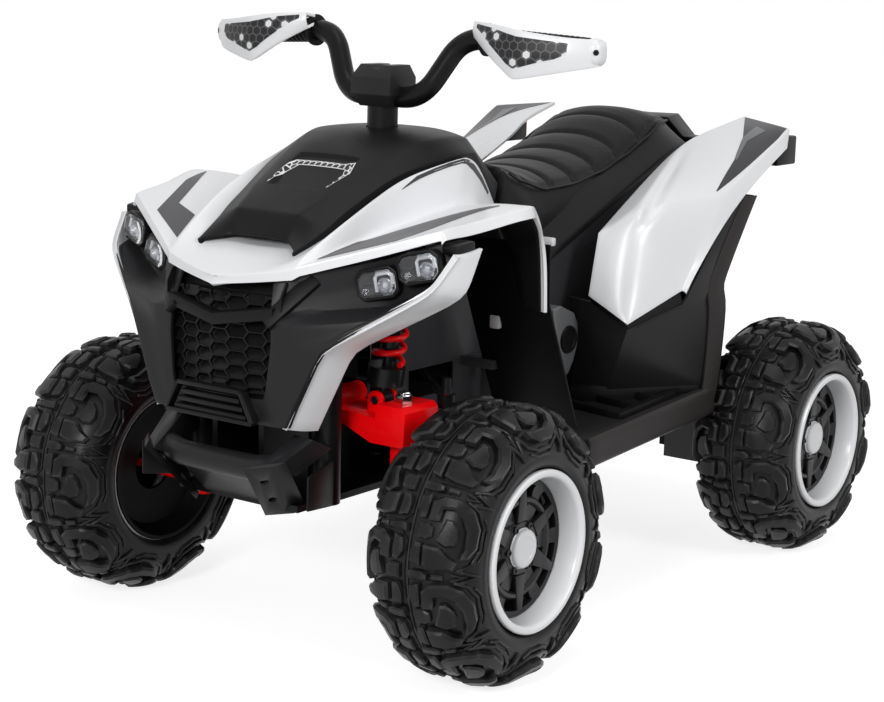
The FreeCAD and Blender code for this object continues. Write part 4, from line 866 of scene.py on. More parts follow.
HOOD_GAPS = ({(row, column) for row in range(5, 10) for column in (6, 7)}
             | {(row, column) for row in (8, 9) for column in (2, 11)}
             | {(9, column) for column in range(2, 12)})
HOOD_LINES = {3: 0.85, 11: 0.85, 1: 0.75, 13: 0.75, 4: 0.8, 10: 0.8}
LIP_CORNERS = {(row, column): 1.0 for row in (0, 1) for column in (4, 7, 10)}
LINER_COLUMNS = (4, 5, 6)
LINER_DROP = ((0, -2, -6), (0, -2, -6), (0, -2, -6), (0, -4, -6), (0, -6, -5), (0, -6.5, -2), (-1, -7, 0))
COVER = (
    ((0, -80, 329), (22, -79, 328), (42, -77, 327), (74, -103, 320), (72, -98, 306)),
    ((0, -65, 356), (25, -66, 356), (47, -66, 356), (83, -55, 343), (81, -52, 322)),
    ((0, -38, 371.5), (26, -38, 371.5), (53, -38, 370), (86, -35, 356), (83, -33, 334)),
    ((0, -21, 381), (46, -21, 380.5), (62, -19, 378), (88, -13, 367), (85, -12, 345)),
    ((0, 14, 399), (48, 14, 398), (68, 16, 394), (94, 20, 384), (91, 20, 362)),
    ((0, 47, 416), (52, 47, 414.5), (76, 50, 409), (101, 55, 400), (98, 55, 379)),
    ((0, 95, 435), (52, 95, 434), (88, 97, 427), (114, 100, 412), (111, 100, 390)),
    ((0, 143, 447), (54, 143, 446), (98, 143, 440), (127, 143, 421), (124, 143, 398)),
    ((0, 205, 443), (56, 205, 443), (96, 195, 435), (122, 180, 419), (119, 180, 396)),
    ((0, 286, 384), (56, 286, 384), (88, 278, 372), (104, 250, 356), (101, 248, 338)),
)
COVER_LINES = {1: 0.8, 7: 0.8, 2: 0.85, 6: 0.85}
COVER_CORNERS = {(0, 1): 1.0, (0, 2): 0.9, (0, 6): 0.9, (0, 7): 1.0}
COVER_WALL = 4
RECESS_DEPTH = 4
RECESS_SLOPE = 3
COLUMN_OPENING = 20.5
BUTTON_OPENING = 9.8
SWITCH_TOP = front(0, 205, 443)
SWITCH_LOW = front(0, 286, 384)


def hood():
    piece = moulded("hood_shell", rows_of(HOOD), (0, -0.3, 1), 4, {1: 0.8, 7: 0.45}, HOOD_LINES,
                    gaps=HOOD_GAPS, corners=LIP_CORNERS)
    place(piece, WHITE, "hood")


def liner():
    """The black skin under each front fender, which leaves a white lip along the fender's edge."""
    rows = []
    for row, drop in zip(HOOD[4:], LINER_DROP):
        inner, middle, outer = (Vector(row[column]) + Vector(drop) for column in LINER_COLUMNS)
        outer.x -= 3
        rows.append([front(*inner), front(*middle), front(*outer)])
    piece = moulded("liner", rows, (0, -0.6, -1), 1.5, {3: 0.45}, {1: 1.0}, 3, 0.3)
    place(both_of(piece, "fender_liners"), BLACK)


def switch_seat(node):
    """Where a switch stands in the cover's rear slope: across, down the slope, out of it."""
    down = (SWITCH_LOW - SWITCH_TOP).normalized()
    across = Vector((1, 0, 0))
    turn = Matrix((across, down, across.cross(down))).transposed().to_4x4()
    return Matrix.Translation(middle_of(node)) @ turn


def bore(radius, half):
    """A round cutter along the X axis."""
    return turned("bore", [(-half, 0), (-half, radius), (half, radius), (half, 0)], 40)


def cover():
    """The dark cover with its recessed panel, and with openings for the column and the switches."""
    rows = rows_of(COVER)
    piece = creased_net("hood_cover_shell", rows, {1: 0.95, 8: 0.6}, COVER_LINES, COVER_CORNERS)
    outwards(piece, (0, 0, 1))
    for face in piece.data.polygons:
        row, column = grid_place(face, len(rows[0]))
        face.material_index = 1 if row in (3, 4) and column in (3, 4) else 0
    subdivided(piece, 3)
    with editing(piece, lambda face: face.material_index == 1):
        bpy.ops.mesh.inset(thickness=RECESS_SLOPE * MM, depth=-RECESS_DEPTH * MM)
    for face in piece.data.polygons:
        face.material_index = 0
    rounded(thickened(piece, COVER_WALL), 1.0, 50)
    rocker = moved(block("rocker", mm(-8.5, -15, -30), mm(8.5, 15, 30)), switch_seat("direction_rocker"))
    button = moved(moved(bore(BUTTON_OPENING, 30), upright((0, 0, 0))), switch_seat("power_button"))
    for cutter in (moved(bore(COLUMN_OPENING, 60), upright(front(0, 150, 445))), rocker, button):
        cut_out(piece, cutter)
    place(smooth(piece, 38), BLACK, "hood_cover")


# Nose: mask, grille, lamps, white trims, bumper

MASK = (
    ((0, -150, 279), (70, -133, 289), (98, -118, 297), (172, -56, 318), (230, -30, 341), (246, -12, 343)),
    ((0, -152, 262), (74, -141, 264), (108, -112, 276), (173, -52, 294), (234, -32, 316), (245, -20, 328)),
    ((0, -152, 256), (75, -142, 254), (110, -116, 258), (182, -62, 266), (238, -42, 298), (244, -32, 306)),
    ((0, -153, 248), (76, -144, 246), (112, -140, 244), (188, -110, 256), (240, -74, 289), (242, -56, 290)),
    ((0, -154, 216), (77, -145, 216), (100, -143, 217), (118, -141, 218), (141, -139, 219), (144, -132, 218)),
    ((0, -154, 156), (70, -147, 154), (80, -147, 153), (92, -146, 152), (110, -146, 151), (113, -138, 150)),
    ((0, -152, 126), (62, -148, 126), (72, -147, 126), (83, -147, 126), (99, -146, 127), (102, -138, 126)),
)
MASK_GAPS = {(row, column) for row in range(0, 5) for column in (4, 5)}
TRIM_EDGE = ((255, -45, 330), (244, -77, 291), (138, -139, 219), (96, -146, 126))
TRIM_BACK = ((263, -2, 334), (257, -24, 279), (150, -86, 213), (110, -99, 118))


def mask():
    piece = moulded("front_mask_shell", rows_of(MASK), (0, -1, 0), 4, {row: 0.8 for row in range(1, 7)},
                    {column: 0.85 for column in range(11)}, 2, gaps=MASK_GAPS)
    place(piece, FAIRING, "front_mask")


def trims():
    """The white trims beside the mask, and the dark ears at their upper ends."""
    rows = []
    for edge, back in zip(TRIM_EDGE, TRIM_BACK):
        a = front(*edge)
        b = front(*back)
        rows.append([a + mm(-2, 10, 0), a, a.lerp(b, 0.5) + mm(2, 0, -2), b])
    piece = moulded("mask_trim", rows, (1, 0, -0.3), 5, {1: 0.4, 2: 0.5}, {1: 0.7})
    ear = block("ear", front(232, -38, 328), front(255, -8, 339))
    for vertex in ear.data.vertices:
        if vertex.co.y > front(0, -20, 0).y:
            vertex.co += mm(3, 0, 4)
    place_pair(rounded(ear, 3, 30, 3), "trim_ear", SATIN)
    place(both_of(piece, "mask_trim_shells"), WHITE, "mask_trims")


HEX_WIDE = 33.0
HEX_TALL = 16.0
HEX_PITCH = HEX_WIDE * 0.75
HEX_CORNERS = ((-0.5, 0), (-0.3, -0.5), (0.3, -0.5), (0.5, 0), (0.3, 0.5), (-0.3, 0.5))
HEX_SHRINK = (0.94, 0.965)
SCALE_DEPTH = 12.0
GRILLE_HALF = 79.0
GRILLE_LOW = 157.0
GRILLE_HIGH = 272.0
GRILLE_NOSE = -148
GRILLE_FOLD = 0.155
GRILLE_BACK_SIDES = ((-86, -6), (-80, 13), (0, 13), (80, 13), (86, -6))
V_BAR_SIDES = (-80, -76, 0, 76, 80)


def on_grille(u, z, back=0.0):
    """A point on the folded grille, u across from its middle fold."""
    return front(u, GRILLE_NOSE + abs(u) * GRILLE_FOLD + back, z)


def hexagon(column, row):
    """One flat cell of the grille, in the upright plane."""
    u = column * HEX_PITCH
    z = GRILLE_LOW + (row + (0.5 if column % 2 else 0)) * HEX_TALL
    wide, tall = HEX_SHRINK
    bpy.ops.mesh.primitive_circle_add(vertices=6, radius=1, fill_type="NGON")
    cell = named("cell")
    for vertex, (across, up) in zip(cell.data.vertices, HEX_CORNERS):
        vertex.co = ((u + across * HEX_WIDE * wide) * MM, 0, (z + up * HEX_TALL * tall) * MM)
    return cell


def grille_scales():
    """Rows of hexagon scales on a folded plate: each face dips from its lower edge to its upper edge."""
    columns = int(GRILLE_HALF // HEX_PITCH) + 1
    rows = int((GRILLE_HIGH - GRILLE_LOW) // HEX_TALL) + 2
    cells = [hexagon(column, row) for column in range(-columns, columns + 1) for row in range(rows)]
    piece = outwards(joined("grille_scales", cells), (0, -1, 0))
    with editing(piece, lambda face: True):
        bpy.ops.mesh.inset(thickness=1.1 * MM, use_individual=True)
    vertices = piece.data.vertices
    for face in piece.data.polygons:
        if len(face.vertices) == 6:
            low = min(vertices[v].co.z for v in face.vertices)
            for v in face.vertices:
                vertices[v].co.y = SCALE_DEPTH * MM * (0.12 + 0.88 * (vertices[v].co.z - low) / (HEX_TALL * MM))
    for spot, way in (((GRILLE_HALF, 0, 0), (1, 0, 0)), ((-GRILLE_HALF, 0, 0), (-1, 0, 0)),
                      ((0, 0, GRILLE_LOW), (0, 0, -1)), ((0, 0, GRILLE_HIGH), (0, 0, 1)), ((0, 0, 0), (1, 0, 0))):
        with editing(piece):
            bpy.ops.mesh.bisect(plane_co=[c * MM for c in spot], plane_no=way, clear_outer=any(spot))
    for vertex in piece.data.vertices:
        vertex.co = on_grille(vertex.co.x / MM, vertex.co.z / MM, vertex.co.y / MM)
    return rounded(thickened(piece, 1.6), 0.4, 50, 1)


def grille():
    scales = grille_scales()
    back_rows = []
    for z, deep in ((289, 9), (274, 0), (214, 0), (150, 0)):
        back_rows.append([on_grille(u, z, back + deep) for u, back in GRILLE_BACK_SIDES])
    back = thickened(outwards(net("grille_back", back_rows), (0, -1, 0)), 2)
    bar_rows = []
    for lift, out in ((-8.5, 2), (-7, -11), (6.5, -13), (8.5, 2)):
        bar_rows.append([on_grille(u, 241.5 + abs(u) * 0.165 + lift, 1 + out) for u in V_BAR_SIDES])
    v_bar = rounded(thickened(outwards(net("v_bar", bar_rows), (0, -1, 0)), 3), 1.4, 30)
    place(scales, SATIN, "grille")
    place(back, BLACK)
    place(v_bar, BLACK)


AHEAD = (0, -1, 0)
VENT_FRAME = ((-48, 163), (48, 163), (66, 129), (-66, 129))
CHEEK_HEIGHTS = ((74, 80), (54, 52), (34, 24))


def nose_struts():
    """The struts beside the grille, the vent under it and the bumper's cheeks."""
    struts = []
    for side in (LEFT, RIGHT):
        struts.append(beam("strut", front(side * 109, -106, 294), front(side * 71, -148, 243), 18, 10, 1.2, AHEAD))
    place(joined("nose_struts", struts), BLACK)
    vent = []
    for z, half in ((152, 45), (143, 50), (134, 55)):
        vent.append(rounded(block("louvre", front(-half, -162, z - 2.6), front(half, -148, z + 2.6)), 1.0))
    for (xa, za), (xb, zb) in zip(VENT_FRAME, VENT_FRAME[1:] + VENT_FRAME[:1]):
        vent.append(beam("vent_edge", front(xa, -159, za), front(xb, -159, zb), 5, 12, 1.0, AHEAD))
    place(joined("nose_vent", vent), SATIN)
    cheek = net("cheek", [[front(130, -138, high), front(112, -68, low)] for high, low in CHEEK_HEIGHTS])
    rounded(thickened(outwards(cheek, (1, 0, 0)), 3), 1)
    place(both_of(cheek, "bumper_cheeks"), BLACK)


LAMPS = ((167, -64, 291), (215, -51, 313))
LAMP_LEAN = math.radians(24)
LAMP_WAY = Vector((math.cos(LAMP_LEAN), math.sin(LAMP_LEAN), 0.22))
LAMP_OUT = Vector((0.3, -1, 0.06)).normalized()
GUIDE_LINE = ((-3, 9), (-3, -6), (0, -9.5), (13, -9.5), (16.5, -6), (16.5, 3))
REFLECTOR_LINE = ((0, 0), (0, 7.6), (5.4, 8.4), (5.8, 7.6), (2, 4.6), (1.4, 0))
DOT_LINE = ((0, 0), (0, 3), (2, 2.8), (3, 1.6), (3.4, 0))


def lamp_block(name, wide, tall, depth, chamfer, rise=0):
    """A plate with cut corners, from its half width and half height, that starts at rise."""
    outline = [(chamfer - wide, -tall), (wide - chamfer, -tall), (wide, chamfer - tall), (wide, tall - chamfer),
               (wide - chamfer, tall), (chamfer - wide, tall), (-wide, tall - chamfer), (-wide, chamfer - tall)]
    return moved(plate(name, outline, depth), (0, 0, rise * MM))


def lamps():
    """Two lamps on each side: a clear lens in a bezel, with a light guide and a reflector behind it."""
    lenses, guides, cups, bezels = [], [], [], []
    across = (LAMP_WAY - LAMP_OUT * LAMP_WAY.dot(LAMP_OUT)).normalized()
    up = LAMP_OUT.cross(across) * -1
    turn = Matrix((across, up, LAMP_OUT)).transposed().to_4x4()
    for spot in LAMPS:
        seat_at = Matrix.Translation(front(*spot) + LAMP_OUT * 3 * MM) @ turn
        lens = lamp_block("lens", 22, 14.5, 4.5, 6.5, 4)
        with editing(lens, faces_up):
            bpy.ops.mesh.inset(thickness=2.6 * MM, depth=2 * MM)
        rounded(lens, 0.8, 20)
        shell = lamp_block("cup", 21.6, 14, 2.5, 6.4, -7)
        ring = lamp_block("bezel", 25.5, 18, 21, 8)
        cut_out(ring, lamp_block("hole", 22.4, 14.9, 30, 6.6, -4))
        rounded(moved(ring, (0, 0, -14 * MM)), 1.2)
        guide = tube("guide", [mm(x, y, 0) for x, y in GUIDE_LINE], 2.0, 12)
        cup = moved(turned("reflector", REFLECTOR_LINE, 24), upright(mm(7, 3.5, -4.6)))
        dot = moved(turned("dot", DOT_LINE, 16), upright(mm(7, 3.5, -2.6)))
        rib = block("rib", mm(-20, -1.2, -5), mm(-7, 1.2, 1))
        for group, parts in ((lenses, [lens]), (cups, [cup]), (bezels, [ring, shell, rib]), (guides, [guide, dot])):
            for part in parts:
                moved(part, seat_at).data.flip_normals()
                group.append(part)
    for name, group, look, nodes in (
        ("headlight_lenses", lenses, LENS, ["headlights"]), ("headlight_cups", cups, MIRROR_CUP, []),
        ("headlight_bezels", bezels, SATIN, []), ("headlight_guides", guides, GUIDE, []),
    ):
        place(both_of(joined(name, group), name), look, *nodes)


# Hand guards, grips and the seat

BAR_MID = front(0, 150, 479)
GUARD_TOP = ((130, 7, 99), (166, -9, 98), (206, -14, 92), (252, -1, 86), (280, 14, 84.5), (292, 27, 84))
GUARD_LOW = ((128, 9, 79), (166, -12, 57), (202, -17, 33), (252, -4, 43), (280, 13, 48.5), (292, 27, 52))
GUARD_BULGE = 5
GUARD_WALL = 3.5
PANEL_EDGE = (
    (0.22, 0.12, 0.3), (1, 0.13, 0.62), (1.72, 0.13, 0.76), (2.1, 0.13, 0.76), (3, 0.14, 0.6), (3.45, 0.16, 0.48),
)
PANEL_ROWS = 6
PANEL_LIFT = 2.2
COMB_CELL = 11.0
GUARD_SCREW = ((0, 0), (0, 3.4), (1.2, 3.4), (1.2, 0))


def by_bar(x, y, z):
    """A point from millimetres about the handlebar's middle."""
    return BAR_MID + mm(x, y, z)


def guard_front(u, v, out=0.0):
    """A point on the guard's front: u along it from 0 to 5, v down it from 0 to 1."""
    index = min(int(u), len(GUARD_TOP) - 2)
    share = u - index
    top, low = (Vector(line[index]).lerp(Vector(line[index + 1]), share) for line in (GUARD_TOP, GUARD_LOW))
    return BAR_MID + (top.lerp(low, v) + Vector((0.1, -GUARD_BULGE * math.sin(math.pi * v) - out, 0))) * MM


def guard_panel(shell):
    """The dark honeycomb print on the guard's front, a skin just off the shell."""
    rows = [[] for step in range(PANEL_ROWS)]
    for start, end in zip(PANEL_EDGE, PANEL_EDGE[1:]):
        for share in (0, 0.25, 0.5, 0.75) + ((1,) if end is PANEL_EDGE[-1] else ()):
            u, top, low = (a + (b - a) * share for a, b in zip(start, end))
            for step, row in enumerate(rows):
                row.append(guard_front(u, top + (low - top) * step / (PANEL_ROWS - 1), PANEL_LIFT))
    piece = net("guard_panel", rows)
    cell_map(piece, COMB_CELL, "z")
    outwards(piece, (0, -1, 0))
    finished(piece, "SHRINKWRAP", target=shell, wrap_method="PROJECT", use_project_y=True,
             use_negative_direction=True, use_positive_direction=True, offset=0.5 * MM)
    return smooth(thickened(piece, 0.4), 60)


def guards():
    back = [by_bar(*(Vector(p) + Vector((0, 17, -3)))) for p in GUARD_TOP]
    low_back = [by_bar(*(Vector(p) + Vector((0, 13, 4)))) for p in GUARD_LOW]
    faces = [[guard_front(u, v) for u in range(len(GUARD_TOP))] for v in (0, 0.5, 1)]
    shell = moulded("hand_guard", [back] + faces + [low_back], (0, -1, 0.2), GUARD_WALL, {1: 0.75, 3: 0.8},
                    {2: 0.5, 5: 0.6})
    panel = guard_panel(shell)
    end = rounded(block("end", by_bar(270, 18, 52), by_bar(296, 48, 84.5)), 11, 30, 4)
    shell = joined("hand_guard", [shell, end])
    screw = moved(turned("screw", GUARD_SCREW, 20), frame_along(by_bar(292.2, 21.6, 69), (0.75, -0.66, 0)))
    place_pair(shell, "hand_guard_shell", WHITE, "hand_guard", "steering")
    place_pair(panel, "hand_guard_panel", COMB, None, "steering")
    place_pair(screw, "hand_guard_screw", BLACK, None, "steering")


BAR_LINE = ((58, 3, 2), (100, 28, 78), (272, 41, 69.6))
BAR_BEND = 30
BAR_RADIUS = 13
BEND_STEPS = 10
GRIP_START = by_bar(131, 30.3, 76.5)
GRIP_END = by_bar(271, 41, 69.7)
GRIP_FLANGE = ((0, 9.3), (0, 19), (1, 20), (4, 20), (5.2, 18.6), (6, 15.2))
GRIP_RIDGE = ((0, 14.2), (1.2, 15.4), (4.4, 15.4), (5.4, 14.2))
GRIP_TIP = ((-7, 15.2), (-1.2, 15.2), (0, 14.2), (0, 9.3))
FIRST_RIDGE = 10.0
RIDGE_PITCH = 7.4


def eased(points, reach):
    """A path whose inner corners are rounded, starting the given distance before each."""
    path = [points[0]]
    for before, corner, after in zip(points, points[1:], points[2:]):
        a = corner + (before - corner).normalized() * reach
        b = corner + (after - corner).normalized() * reach
        for step in range(BEND_STEPS + 1):
            share = step / BEND_STEPS
            path.append(a.lerp(corner, share).lerp(corner.lerp(b, share), share))
    return path + [points[-1]]


def bar():
    half = [by_bar(*p) for p in BAR_LINE]
    other = [Vector((-p.x, p.y, p.z)) for p in reversed(half)]
    piece = tube("handlebar_tube", eased(other + half, BAR_BEND * MM), BAR_RADIUS, 20)
    place(piece, BAR, "handlebar", body="steering")


def grips():
    span = (GRIP_END - GRIP_START).length / MM
    outline = list(GRIP_FLANGE)
    ridge = FIRST_RIDGE
    while ridge < span - 12:
        outline += [(ridge + along, out) for along, out in GRIP_RIDGE]
        ridge += RIDGE_PITCH
    outline += [(span + along, out) for along, out in GRIP_TIP]
    form = moved(turned("grip", outline, 32), frame_along(GRIP_START, GRIP_END - GRIP_START))
    place(both_of(form, "grip_sleeves"), GRIP, "grips", body="steering")


SEAT = (
    (-432, 387, 401, 82), (-400, 372, 387, 85), (-345, 357, 375, 87), (-280, 359, 378, 88), (-210, 371, 391, 88),
    (-150, 389, 410, 88), (-93, 411, 434, 88), (-50, 429, 446, 84), (-18, 431, 442, 76), (4, 424, 432, 62),
)
SEAT_STEPS = 44
SEAT_VOXEL = 5
SEAT_PUFF = 4
CHANNELS = 6
CHANNEL_PITCH = 55.0
FIRST_CHANNEL = -377.0
CHANNEL_BOW = 15.0
CHANNEL_DEPTH = 6.0
CHANNEL_WIDTH = 4.6
PILLOW_RISE = 2.2
BORDER_AT = 0.93
BORDER_WIDTH = 0.03
BORDER_DEPTH = 2.2
PIPING_RADIUS = 1.9


def seat_line(y):
    """The seat's edge height, crown height and half width at a place along it."""
    for a, b in zip(SEAT, SEAT[1:]):
        if y <= b[0]:
            break
    share = held((y - a[0]) / (b[0] - a[0]))
    share = share * share * (3 - 2 * share) * 0.4 + share * 0.6
    return [low + (high - low) * share for low, high in zip(a[1:], b[1:])]


def seat_base(y):
    """The height that the cushion rests on, at a place along it."""
    return min(291 + 0.397 * (y + 317), 394) + 0.3


def seat_section(y):
    """One closed loop round the cushion, from its right edge over the crown."""
    edge, crown, half = seat_line(y)
    base = seat_base(y)
    foot = half + 12 * min(1, max(0, edge - base) / 60)

    def on_wall(side, step):
        share = step / 5
        out = half + (foot - half) * share + 2.5 * math.sin(math.pi * share)
        return rear(side * out, y, edge + (base - edge) * share)

    loop = []
    for step in range(21):
        s = -1 + step / 10
        loop.append(rear(s * half, y, edge + (crown - edge) * (1 - abs(s) ** 2.4)))
    loop += [on_wall(LEFT, step) for step in range(1, 6)]
    loop += [rear(foot - 2 * foot * step / 8, y, base) for step in range(1, 8)]
    return loop + [on_wall(RIGHT, step) for step in range(5, 0, -1)]


def swollen(piece):
    """Puffs a closed cushion with a short cloth run, moving no point by more than SEAT_PUFF."""
    before = [vertex.co.copy() for vertex in piece.data.vertices]
    cloth = piece.modifiers.new("Cloth", "CLOTH")
    cloth.settings.use_pressure = True
    cloth.settings.uniform_pressure_force = 4
    cloth.settings.effector_weights.gravity = 0
    scene = bpy.context.scene
    for step in range(1, 21):
        scene.frame_set(step)
    only(piece)
    bpy.ops.object.modifier_apply(modifier=cloth.name)
    scene.frame_set(1)
    cap = SEAT_PUFF * MM
    for vertex, start in zip(piece.data.vertices, before):
        move = vertex.co - start
        if move.length > cap:
            vertex.co = start + move * (cap / move.length)


def seat_share(place_at):
    """Where a point lies on the seat: its place along it, its share across, and its height over the edge."""
    y = (place_at.y - REAR_WHEEL.y) / MM
    edge, crown, half = seat_line(y)
    return y, place_at.x / MM / half, (place_at.z - REAR_WHEEL.z) / MM - edge


def quilted(piece):
    """Presses the sewn channels and the border seam into the cushion, and marks the pierced leather."""
    bottom = [seat_base((vertex.co.y - REAR_WHEEL.y) / MM) * MM + REAR_WHEEL.z for vertex in piece.data.vertices]
    marks = piece.data.attributes.new("quilted", "FLOAT", "POINT")
    for index, vertex in enumerate(piece.data.vertices):
        y, s, height = seat_share(vertex.co)
        top = held((height + 6) / 8) * held((1.02 - abs(s)) / 0.12)
        bowed_y = y - CHANNEL_BOW * (1 - s * s)
        phase = (bowed_y - FIRST_CHANNEL) / CHANNEL_PITCH
        off = abs(phase - round(phase))
        if -0.4 < phase < CHANNELS - 0.6:
            pillow = 1 - (2 * off - 1) ** 2
            seam = math.exp(-(off * CHANNEL_PITCH / CHANNEL_WIDTH) ** 2)
            vertex.co.z += top * MM * (PILLOW_RISE * pillow - CHANNEL_DEPTH * seam)
        border = math.exp(-((abs(s) - BORDER_AT) / BORDER_WIDTH) ** 2) * held((height + 12) / 6)
        vertex.co.z -= BORDER_DEPTH * MM * border
        inside = 0.15 < phase < CHANNELS - 0.7 and abs(s) < 0.84 and height > -3
        marks.data[index].value = 1 if inside else 0
        vertex.co.z = max(vertex.co.z, bottom[index] + 0.4 * MM)


def seat():
    first, last = SEAT[0][0], SEAT[-1][0]
    ys = [first + (last - first) * step / SEAT_STEPS for step in range(SEAT_STEPS + 1)]
    sections = [seat_section(y) for y in ys]
    piece = net("seat_cushion", [loop + loop[:1] for loop in sections])
    with editing(piece):
        bpy.ops.mesh.remove_doubles(threshold=MERGE)
        bpy.ops.mesh.select_all(action="DESELECT")
        bpy.ops.mesh.select_non_manifold(extend=False)
        bpy.ops.mesh.edge_face_add()
    with editing(piece, lambda face: len(face.vertices) > 8):
        bpy.ops.mesh.quads_convert_to_tris()
    closed_outwards(piece)
    for vertex in piece.data.vertices:
        y, s, height = seat_share(vertex.co)
        if height > -2:
            vertex.co.z -= 3 * MM * max(0, 1 - abs(s) ** 4)
    finished(piece, "REMESH", mode="VOXEL", voxel_size=SEAT_VOXEL * MM)
    swollen(piece)
    subdivided(piece, 1)
    quilted(piece)
    place(smooth(piece, 80), LEATHER, "seat")
    for side, word in SIDE_NAMES.items():
        path = []
        for y in ys[1:-1]:
            edge, crown, half = seat_line(y)
            path.append(rear(side * (half + 2.2), y, edge - 1.5))
        place(tube(word + "_seat_piping", path, PIPING_RADIUS, 12), LEATHER)


# Tub shoulders, rear fenders, prints and side panels

SKIRT_YS = (-424, -380, -330, -280, -230, -180, -130, -90, -50, -16)
SKIRT_FOOT = 114.5
FENDER = (
    (152, -309, 301), (132, -93, 396), (150, -46, 417), (162, 58, 437), (251, 28, 428), (243, -145, 344),
    (242, -174, 319), (240, -235, 227), (215, -330, 190), (158, -337, 222), (200, -275, 343), (207, -293, 319),
    (255, 15, 401), (252, -133, 331), (246, -236, 225),
)
FENDER_FACES = ((0, 9, 8, 11), (0, 11, 10), (0, 10, 1), (1, 10, 2), (2, 10, 5, 4), (2, 4, 3), (10, 11, 6, 5),
                (11, 8, 7, 6), (5, 13, 12, 4), (6, 13, 5), (7, 14, 13, 6))
FENDER_CREASES = {(10, 11): 0.5, (10, 5): 0.7, (5, 4): 0.75, (0, 11): 0.3, (11, 8): 0.25, (5, 6): 0.5, (6, 7): 0.5,
                  (2, 4): 0.2, (10, 2): 0.3, (0, 10): 0.4, (11, 6): 0.2}
FENDER_CORNERS = (0, 8, 9)
GROOVE = ((204, -300, 296), (207, -285, 319), (205, -263, 339), (178, -175, 373), (149, -72, 407))
GROOVE_DEPTHS = (0, 6, 12, 11, 0)
GROOVE_WIDTH = 8


def tub_shoulder():
    """The moulded skirt beside the cushion, down to the tub's shoulder."""
    rows = []
    for y in SKIRT_YS:
        edge, crown, half = seat_line(y)
        base = seat_base(y)
        top = min(edge - 10, base + 34)
        bend = half + (SKIRT_FOOT - half) * 0.45
        rows.append([rear(half - 2, y, top + 6), rear(bend, y, top - (top - base) * 0.35),
                     rear(SKIRT_FOOT, y, base + 3), rear(SKIRT_FOOT + 1, y, base - 6)])
    place_pair(moulded("skirt", rows, (1, 0, 0.4), 2.5, (), {2: 0.3}), "tub_shoulder", SATIN)


def groove_depth(spot):
    """How deep the groove along the fender's top is at a point, in millimetres."""
    deepest = 0
    stations = list(zip([rear(*p) for p in GROOVE], GROOVE_DEPTHS))
    for (a, depth_a), (b, depth_b) in zip(stations, stations[1:]):
        share = held((spot - a).dot(b - a) / (b - a).length_squared)
        away = (spot - a.lerp(b, share)).length / MM
        deepest = max(deepest, (depth_a + (depth_b - depth_a) * share) * math.exp(-(away / GROOVE_WIDTH) ** 2))
    return deepest


def rear_fenders():
    piece = faceted("rear_fender", [rear(*p) for p in FENDER], FENDER_FACES, (0.4, 0, 1), 4.5, FENDER_CREASES, 4,
                    FENDER_CORNERS)
    inward = Vector((-0.5, 0.35, -0.8)).normalized()
    for vertex in piece.data.vertices:
        vertex.co += inward * groove_depth(vertex.co) * MM
    place_pair(piece, "rear_fender_shell", WHITE, "rear_fender")


RIGHT_WEDGE = (
    ((-239, 89), (-231, 45), (-183, -57), (-112, -97)),
    ((-237, 90), (-216, 51), (-182, -20), (-143, -33)),
)
LEFT_WEDGE = (
    ((106, -101), (114, -38), (138, -1), (178, 47), (217, 95)),
    ((107, -102), (148, -77), (184, -56), (200, 18), (222, 88)),
)
SHOULDER = (
    ((41, 384.2), (68, 398), (95, 405.5), (120, 411.5), (140, 415), (152, 413), (168, 404), (190, 388), (210, 369)),
    ((41, 383.6), (70, 394), (96, 401), (120, 406.5), (138, 409.5), (147, 408), (163, 399), (185, 384), (206, 366)),
)
TIP_PATCH = (((247, 26), (248, 0), (243, -72), (237, -148)), ((166, 54), (206, -25), (224, -79), (236, -149)))
TIP_STRIPE = (((224, 8), (216, -30), (227, -78)), ((204, 18), (206, -25), (224, -80)))
LACE_EDGE = (
    ((-45, -13), (-46, 17), (-43, 39), (48, 39), (55, 19), (46, -12)),
    ((-44, -14), (-38, 15), (-31, 29), (40, 29), (49, 13), (45, -13)),
)
LACE_CELL = 9.0
LACE_BORDER = 0.14
PRINT_FROM = 470
PRINT_BESIDE = 190


def finer(line, steps=5):
    """The line with more points between its corners."""
    made = []
    for a, b in zip(line, line[1:]):
        made += [Vector(a).lerp(Vector(b), step / steps) for step in range(steps)]
    return made + [Vector(line[-1])]


def print_on(name, shell, edges, spot_of, axis="z", lift=0.5, cell=1):
    """A thin print between two edges, laid on a shell along an axis."""
    first, second = (finer(edge) for edge in edges)
    rows = [[spot_of(a.lerp(b, step / 6)) for a, b in zip(first, second)] for step in range(7)]
    piece = net(name, rows)
    cell_map(piece, cell, "y")
    outwards(piece, (0, 0, 1) if axis == "z" else (1, 0, 0))
    finished(piece, "SHRINKWRAP", target=bpy.data.objects[shell], wrap_method="PROJECT", use_project_x=axis == "x",
             use_project_z=axis == "z", use_negative_direction=True, use_positive_direction=False, offset=lift * MM)
    return smooth(thickened(piece, 0.3), 60)


def over_hood(p):
    return front(p.x, p.y, PRINT_FROM)


def over_tail(p):
    return rear(p.x, p.y, PRINT_FROM)


def beside_hood(p):
    return front(PRINT_BESIDE, p.x, p.y)


